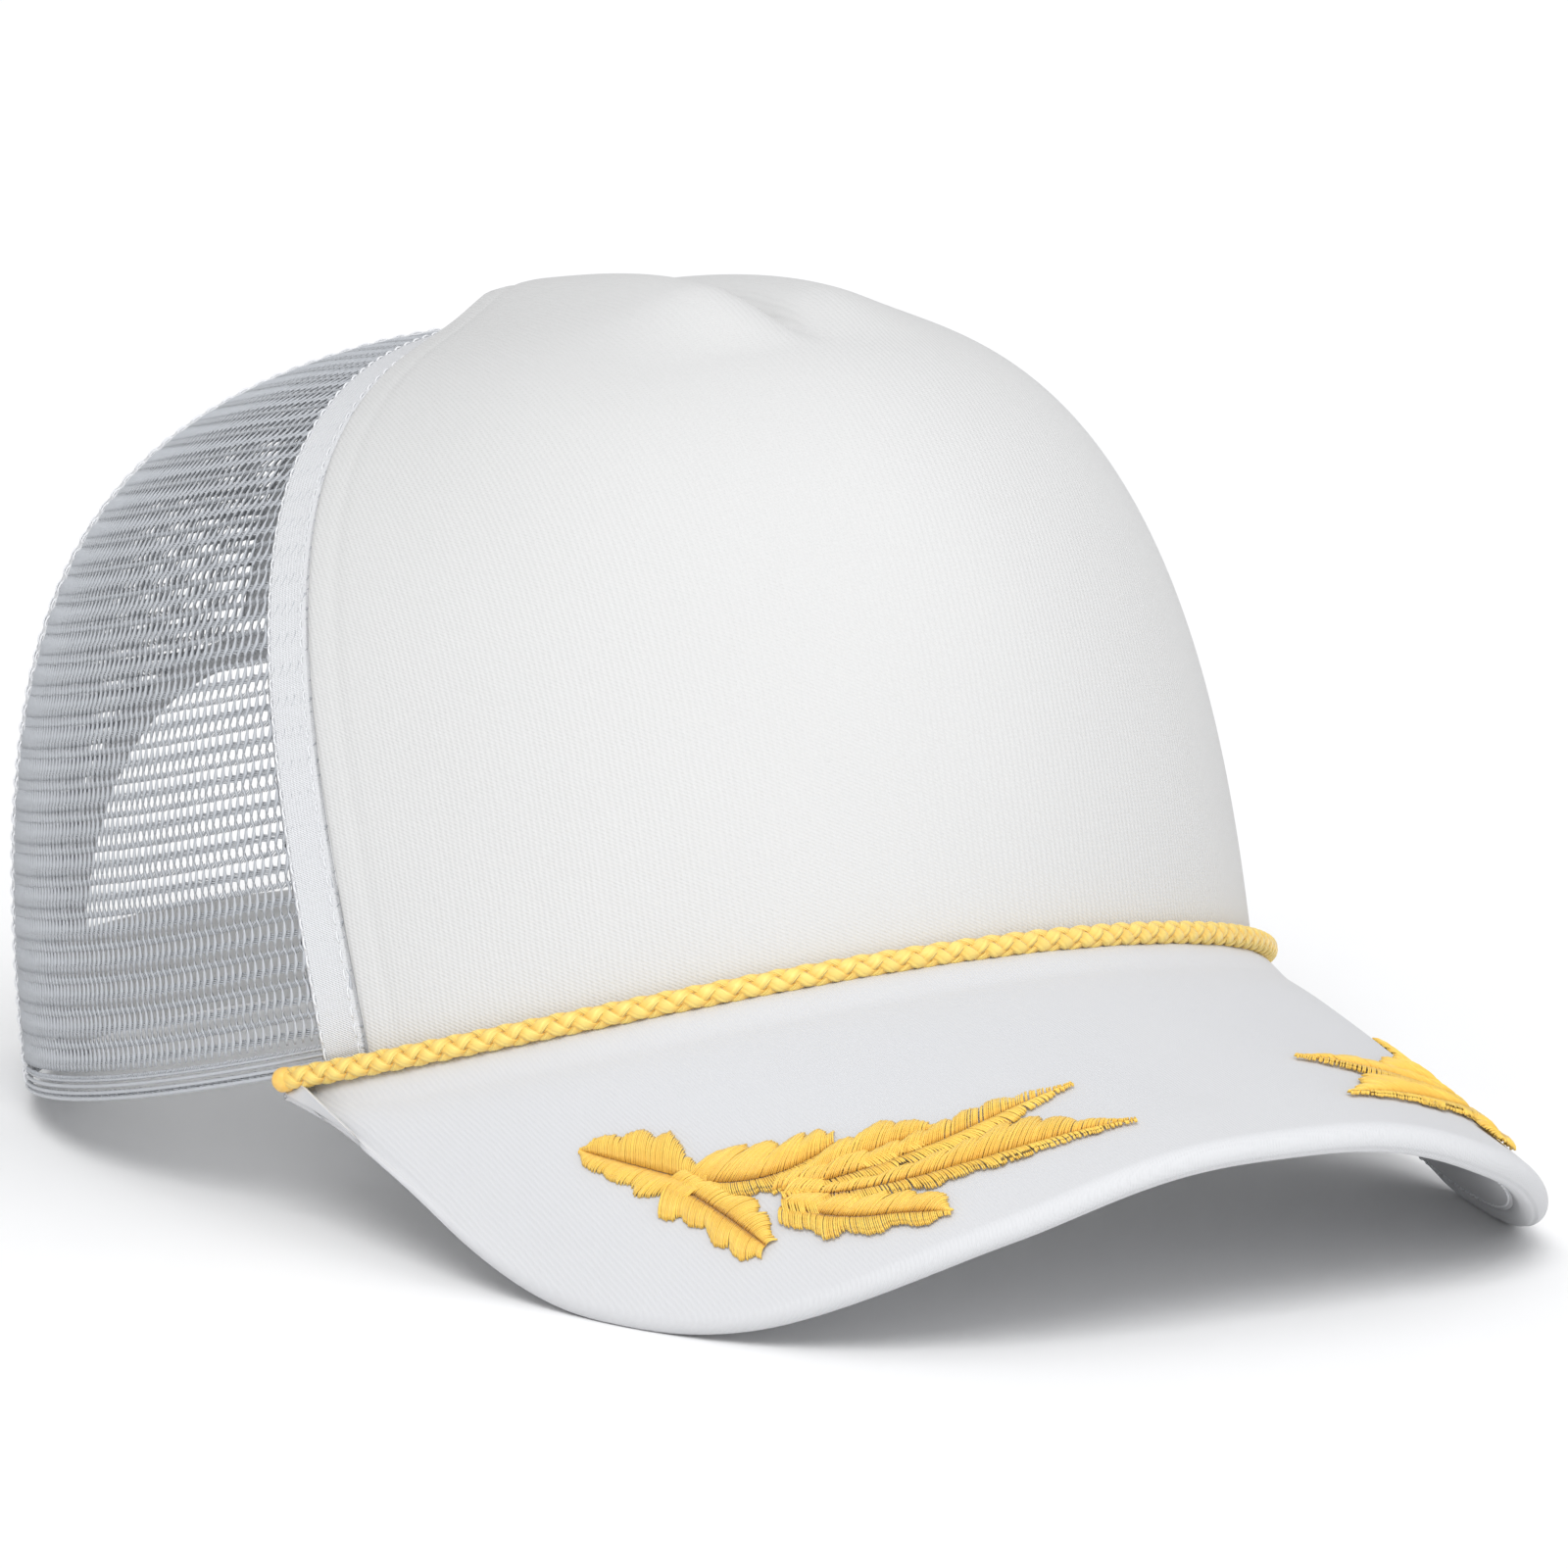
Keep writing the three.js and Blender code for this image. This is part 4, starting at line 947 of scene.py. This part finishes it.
def build_rope():
    arc, centre, outward, rise, along = rope_frame()
    at = lambda s, data: np.stack([np.interp(s, arc, data[:, k]) for k in range(3)], -1)
    length = arc[-1]
    step = 0.36
    s = np.linspace(0.2, length - 0.2, int(length / step))
    c, o, r = at(s, centre), unit(at(s, outward)), unit(at(s, rise))
    fuse = np.minimum(fade(s, 0, 3.2), fade(length - s, 0, 3.2))
    parts, cloth, shade_marks = [], [], []
    sides = 8
    section = 2 * math.pi * np.arange(sides) / sides
    for hand in (1, -1):
        for k in range(CORD_COUNT):
            first = math.pi / (2 * CORD_COUNT)
            theta = hand * 2 * math.pi * (s / BRAID_PITCH) + 2 * math.pi * k / CORD_COUNT + first
            over = hand * np.cos(CORD_COUNT * (theta - first))
            radius = BRAID_RADIUS + BRAID_WAVE * over * fuse
            radial = o * np.cos(theta)[:, None] + r * np.sin(theta)[:, None]
            path = c + radial * radius[:, None]
            forward = unit(np.gradient(path, axis=0))
            side = unit(np.cross(forward, radial))
            wide = CORD_WIDTH * (1 + 0.1 * (1 - fuse))
            ring = path[:, None] + side[:, None] * np.cos(section)[None, :, None] * wide[:, None, None]
            ring = ring + radial[:, None] * (np.sin(section) * CORD_DEPTH)[None, :, None]
            points = ring.reshape(-1, 3)
            parts.append((points, tube_faces(len(s), sides)))
            run = np.repeat((s * 1.4)[:, None], sides, 1)
            girth = np.repeat(np.sin(section - 0.3)[None], len(s), 0)
            cloth.append(np.stack([girth, run], -1).reshape(-1, 2))
            # Painted shade: each cord is darkest where it dives under the cords that cross it and lightest where it
            # lies over them; at the fused ends it stays half way.
            shade_marks.append(np.repeat(np.clip(0.5 + 0.5 * over * fuse, 0, 1), sides))
    # The core that the cords lie on.
    core_s = np.linspace(0, length, 220)
    cc, co, cr = at(core_s, centre), unit(at(core_s, outward)), unit(at(core_s, rise))
    core = cc[:, None] + co[:, None] * np.cos(section)[None, :, None] * CORE_RADIUS
    core = core + cr[:, None] * np.sin(section)[None, :, None] * CORE_RADIUS
    parts.append((core.reshape(-1, 3), tube_faces(len(core_s), sides)))
    cloth.append(np.zeros((len(core_s) * sides, 2)))
    # The core is painted wholly in the darker orange, as painted shade.
    shade_marks.append(np.zeros(len(core_s) * sides))
    points, faces = join(parts)
    return make_mesh("rope_braid", points, faces, np.concatenate(cloth) / 100, np.concatenate(shade_marks))


def build_tips():
    arc, centre, outward, rise, along = rope_frame()
    parts = []
    for index, hand in ((0, -1), (-1, 1)):
        share = np.linspace(-1, 1, 22)[:, None]
        angle = 2 * math.pi * np.arange(24)[None] / 24
        radius = 1.72 * np.sqrt(np.clip(1 - np.abs(share) ** 2.6, 0.002, 1)) * (1 + 0.02 * np.sin(5 * angle + 3 * share))
        reach = hand * (0.15 + 1.75 * share)
        point = centre[index] + along[index] * (reach + 0 * angle)[..., None]
        point = point + outward[index] * (radius * np.cos(angle))[..., None] + rise[index] * (radius * np.sin(angle))[..., None]
        quads = grid_faces(22, 24, wrap=True)
        caps = [np.arange(24)[None, ::-1], (np.arange(24) + 21 * 24)[None]]
        parts.append((point.reshape(-1, 3), [quads] + caps))
    points, faces = join(parts)
    return make_mesh("rope_melted_tips", points, faces, points[:, :2] / 100)


rope_cord, tree, shader = new_material("Glossy braided cord", ROPE_YELLOW, 0.42, sheen=0.25, sheen_roughness=0.35)
cloth = cloth_coordinates(tree)
split = tree.nodes.new("ShaderNodeSeparateXYZ")
tree.links.new(cloth, split.inputs[0])
cord_shade_mark = tree.nodes.new("ShaderNodeAttribute")
cord_shade_mark.attribute_name = "shade_marks"
filaments = calculate(tree, "SINE", calculate(tree, "MULTIPLY_ADD", split.outputs[0], 1300.0, calculate(tree, "MULTIPLY", noise(tree, cloth, 30, 2), 9)))
# The cord colour is painted shade: the darker orange where a cord dives under, full yellow where it lies on top.
raised = mix_colour(tree, cord_shade_mark.outputs["Fac"], ROPE_SHADED_ORANGE, ROPE_YELLOW)
lines = calculate(tree, "MULTIPLY_ADD", filaments, 0.06, 0.94)
tree.links.new(mix_colour(tree, 1.0, raised, lines, "MULTIPLY"), shader.inputs["Base Color"])
add_bump(tree, shader, filaments, 0.00003)

melted, tree, shader = new_material("Melted cord tip", ROPE_SHADED_ORANGE, 0.3)
place = tree.nodes.new("ShaderNodeTexCoord")
patch = noise(tree, place.outputs["Object"], 900, 3)
tree.links.new(mix_colour(tree, patch, (0.9, 0.5, 0.08), (0.94, 0.64, 0.2)), shader.inputs["Base Color"])
add_bump(tree, shader, patch, 0.0002)

rope = build_rope()
rope.data.materials.append(rope_cord)
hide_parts("rope")
tips = build_tips()
tips.data.materials.append(melted)
for piece in (rope, tips):
    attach(piece, "root")


# Leaf sprigs. Two mirrored sprigs of oak leaves in yellow satin stitch on the upper layer of the
# visor. Each leaf is padded, and its threads run from the vein to the lobed edge.
# Vein by turn and share of the way out, and the leaf's width on the right and left of it, root to tip.
LEAVES = (
    {"vein": ((38.4, 0.634), (42.1, 0.534), (45.9, 0.434)),
     "right": (3.3, 3.3, 3.7, 4, 3.2, 2.8, 2.9, 2.1, 1.7, 0), "left": (1.6, 2.4, 4.5, 5.6, 5.5, 4.8, 4.2, 3.1, 2.3, 0)},
    {"vein": ((41.1, 0.594), (39.5, 0.721), (38.3, 0.853)),
     "right": (2.7, 2.8, 3, 3.2, 3.7, 3.5, 2.1, 1.4), "left": (4.7, 4.2, 3.5, 3.1, 3.5, 3.7, 3.5, 2.8, 1.6)},
    {"vein": ((39.9, 0.605), (34, 0.663), (26.9, 0.629)),
     "right": (4.6, 5.9, 6.7, 5.6, 5.8, 5.9, 5.7, 5, 4, 2.4), "left": (1.7, 1.4, 1.9, 2.3, 2.7, 2.5, 2.1, 1.8, 0.5)},
    {"vein": ((34.5, 0.714), (26.6, 0.693), (18.8, 0.67)),
     "right": (2.5, 2.5, 3.5, 4.6, 5.2, 5.5, 5.1, 3.7, 2.5, 0.2), "left": (0.2, 0.3, 0.7, 1.6, 2.3, 3.4, 3.5, 3.2, 2.4, 0.2)},
    {"vein": ((34.1, 0.719), (26.2, 0.734), (20.8, 0.723), (15.2, 0.696), (7.1, 0.654)),
     "right": (3, 4, 3.4, 3.8, 4, 4.1, 3.9, 2.4, 0), "left": (1.3, 2.5, 2.8, 2.6, 3.1, 3.6, 2.9, 1.6, 0)},
    {"vein": ((34.5, 0.736), (26, 0.8), (20, 0.815), (14, 0.827), (5.8, 0.866)),
     "right": (3.4, 1.8, 2.7, 4, 5.1, 6.8, 5.9, 2.9, 0), "left": (3, 3.8, 1.9, 2.7, 2, 2.5, 1.8, 1.2, 0)},
    {"vein": ((34.8, 0.759), (31.9, 0.832), (29.6, 0.868), (27, 0.895), (23.5, 0.946)),
     "right": (2.1, 3.2, 3.5, 3.8, 3.7, 4, 3.7, 3.6, 3.5, 2.8, 0), "left": (2.2, 2.5, 3.3, 2.4, 2.3, 3.3, 1.7, 2.1, 1.9, 0)},
)
LOBE_LENGTH = 5.6
STITCH_SPACING = 0.3
STITCH_RADIUS = 0.155
SATIN_YELLOW = (1.0, 0.73, 0.15)
# The darker satin colour is partly painted shade at the veins and edges and partly random tone.
SATIN_SHADE_AND_TONE = (0.72, 0.32, 0.03)


def vein_at(leaf, t):
    turns, outs = np.array(leaf["vein"]).T
    keys = np.linspace(0, 1, len(turns))
    turn = np.polyval(np.polyfit(keys, turns, len(keys) - 1), t)
    return np.radians(turn), np.polyval(np.polyfit(keys, outs, len(keys) - 1), t)


def leaf_width(widths, length, t):
    """Width beside the vein, scalloped into lobes with sharp notches between them."""
    body = np.interp(t, np.linspace(0, 1, len(widths)), widths)
    lobes = max(round(length / LOBE_LENGTH), 2)
    return body * (0.78 + 0.3 * np.abs(np.sin(math.pi * (lobes * t + 0.25))) ** 0.7)


def beside_vein(turn, out, offset):
    """Chart position a short way (millimetres in x and y) from a point of the visor."""
    step = 1e-3
    by_turn = (visor_middle(turn + step, out) - visor_middle(turn, out)) / step
    by_out = (visor_middle(turn, out + step) - visor_middle(turn, out)) / step
    a, b, c = (by_turn**2).sum(-1), (by_turn * by_out).sum(-1), (by_out**2).sum(-1)
    p, q = (offset * by_turn).sum(-1), (offset * by_out).sum(-1)
    det = a * c - b * b
    return turn + (p * c - q * b) / det, out + (q * a - p * b) / det


def build_sprig(name, hand):
    rng = np.random.default_rng(7)
    parts, shade_marks = [], []
    for order, leaf in enumerate(LEAVES):
        fine = np.linspace(0.0, 1.0, 400)
        turn, out = vein_at(leaf, fine)
        spine = visor_middle(turn, out)
        arc = np.concatenate([[0], np.cumsum(np.linalg.norm(np.diff(spine, axis=0), axis=1))])
        count = int(arc[-1] / STITCH_SPACING)
        t0 = np.interp((np.arange(count) + 0.5) * STITCH_SPACING, arc, fine)
        for side, widths in ((-1, leaf["left"]), (1, leaf["right"])):
            t = np.clip(t0 + rng.normal(0, 0.0015, count), 0.01, 0.99)
            turn, out = vein_at(leaf, t)
            ahead_turn, ahead_out = vein_at(leaf, t + 0.01)
            along = unit(visor_middle(ahead_turn, ahead_out) - visor_middle(turn, out))
            normal = visor_normal(turn, out)
            across = unit(np.cross(along, normal)) * side
            width = np.maximum(leaf_width(widths, arc[-1], t) + rng.normal(0, 0.09, count), 0.35)
            share = np.array([0.02, 0.2, 0.45, 0.7, 0.9, 1.0])
            reach = width[:, None] * share[None]
            direction = across + along * 0.55
            offset = direction[:, None] * reach[..., None]
            t2, o2 = beside_vein(turn[:, None] + 0 * share, out[:, None] + 0 * share, offset)
            bulge = 0.25 + (0.35 + 0.09 * np.minimum(width, 5))[:, None] * np.array([0.1, 0.72, 1, 0.85, 0.4, -0.15])[None]
            above = VISOR_THICKNESS / 2 + bulge + order * 0.05 + rng.normal(0, 0.02, (count, 1))
            path = on_visor(t2, o2, above)
            parts.append(tubes(path, np.full(path.shape[:2], STITCH_RADIUS), sides=4))
            # Painted shade along each stitch: darkest at the vein, a little darker again at the edge, brightest over
            # the padding, and varied at random from stitch to stitch.
            stitch_light = np.array([0, 0.55, 0.9, 1, 0.9, 0.7])[None] * (0.6 + 0.4 * rng.random((count, 1)))
            shade_marks.append(np.repeat(stitch_light.ravel(), 4))
    points, faces = join(parts)
    points = points * np.array([hand, 1, 1])
    if hand < 0:
        faces = [f[:, ::-1] for f in faces]
    return make_mesh(name, points, faces, shade_marks=np.concatenate(shade_marks))


satin, tree, shader = new_material("Yellow satin stitch", SATIN_YELLOW, 0.36, sheen=0.2, sheen_roughness=0.3)
place = tree.nodes.new("ShaderNodeTexCoord")
strand = noise(tree, place.outputs["Object"], 1800, 2)
patch = noise(tree, place.outputs["Object"], 160, 2)
stitch_shade_mark = tree.nodes.new("ShaderNodeAttribute")
stitch_shade_mark.attribute_name = "shade_marks"
# The satin colour is painted shade and random tone: darker at the vein and edge where the stitches sink, with random
# streaks and patches.
share = calculate(tree, "MULTIPLY_ADD", strand, 0.3, calculate(tree, "MULTIPLY", patch, 0.25))
share = calculate(tree, "MULTIPLY_ADD", stitch_shade_mark.outputs["Fac"], 0.6, share)
tree.links.new(mix_colour(tree, share, SATIN_SHADE_AND_TONE, SATIN_YELLOW), shader.inputs["Base Color"])
add_bump(tree, shader, strand, 0.00005)
for side, hand in (("left", 1), ("right", -1)):
    sprig = build_sprig(f"leaf_stitches_{side}", hand)
    sprig.data.materials.append(satin)
    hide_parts(f"leaf_sprig_{side}")
    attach(sprig, "root")


# Studio. A pale floor, a wide soft light in front on the left, and even light all round.
def build_floor():
    mesh = bpy.data.meshes.new("floor")
    size = 6.0
    mesh.from_pydata([(-size, -size, 0), (size, -size, 0), (size, size, 0), (-size, size, 0)], [], [(0, 1, 2, 3)])
    floor = bpy.data.objects.new("floor", mesh)
    bpy.context.scene.collection.objects.link(floor)
    material, tree, shader = new_material("Pale floor", (0.97, 0.97, 0.97), 0.9)
    place = tree.nodes.new("ShaderNodeTexCoord")
    grain = noise(tree, place.outputs["Object"], 40, 2)
    tree.links.new(mix_colour(tree, grain, (0.96, 0.96, 0.96), (0.98, 0.98, 0.98)), shader.inputs["Base Color"])
    floor.data.materials.append(material)


def add_sun(name, towards, spread, power):
    light = bpy.data.lights.new(name, "SUN")
    light.angle = math.radians(spread)
    light.energy = power
    lamp = bpy.data.objects.new(name, light)
    lamp.rotation_mode = "QUATERNION"
    lamp.rotation_quaternion = Vector(towards).to_track_quat("-Z", "Y")
    bpy.context.scene.collection.objects.link(lamp)


build_floor()
add_sun("key", (0.5, 0.66, -0.8), 30, 1.5)
world = bpy.data.worlds.new("Studio")
world.use_nodes = True
sky = world.node_tree
place = sky.nodes.new("ShaderNodeTexCoord")
split = sky.nodes.new("ShaderNodeSeparateXYZ")
sky.links.new(place.outputs["Generated"], split.inputs[0])
from_above = calculate(sky, "MULTIPLY_ADD", calculate(sky, "MAXIMUM", split.outputs[2], 0.0), 0.45, 0.3)
from_front = calculate(sky, "MULTIPLY", calculate(sky, "MAXIMUM", calculate(sky, "MULTIPLY", split.outputs[1], -1.0), 0.0), 0.75)
sky.nodes["Background"].inputs[0].default_value = (0.98, 0.985, 1, 1)
sky.links.new(calculate(sky, "ADD", from_above, from_front), sky.nodes["Background"].inputs[1])
bpy.context.scene.world = world
bpy.context.scene.view_settings.view_transform = "Standard"

# Camera at the photograph's angle, far off with a long lens.
CAMERA_PLACE = (-0.99337, -1.57925, 0.39553)
CAMERA_LOOK = (0.5261, 0.83105, -0.1805)
CAMERA_ROLL = -0.22
CAMERA_LENS = 313.76
camera_data = bpy.data.cameras.new("camera")
camera_data.lens = CAMERA_LENS
camera_data.sensor_width = 36
camera_data.clip_start = 0.01
camera_data.clip_end = 100
camera = bpy.data.objects.new("camera", camera_data)
look = Vector(CAMERA_LOOK).normalized()
right = look.cross(Vector((0, 0, 1))).normalized()
above = right.cross(look)
roll = math.radians(CAMERA_ROLL)
tilted_up = above * math.cos(roll) + right * math.sin(roll)
tilted_right = look.cross(tilted_up)
camera.matrix_world = Matrix.Translation(CAMERA_PLACE) @ Matrix((tilted_right, tilted_up, -look)).transposed().to_4x4()
bpy.context.scene.collection.objects.link(camera)
bpy.context.scene.camera = camera
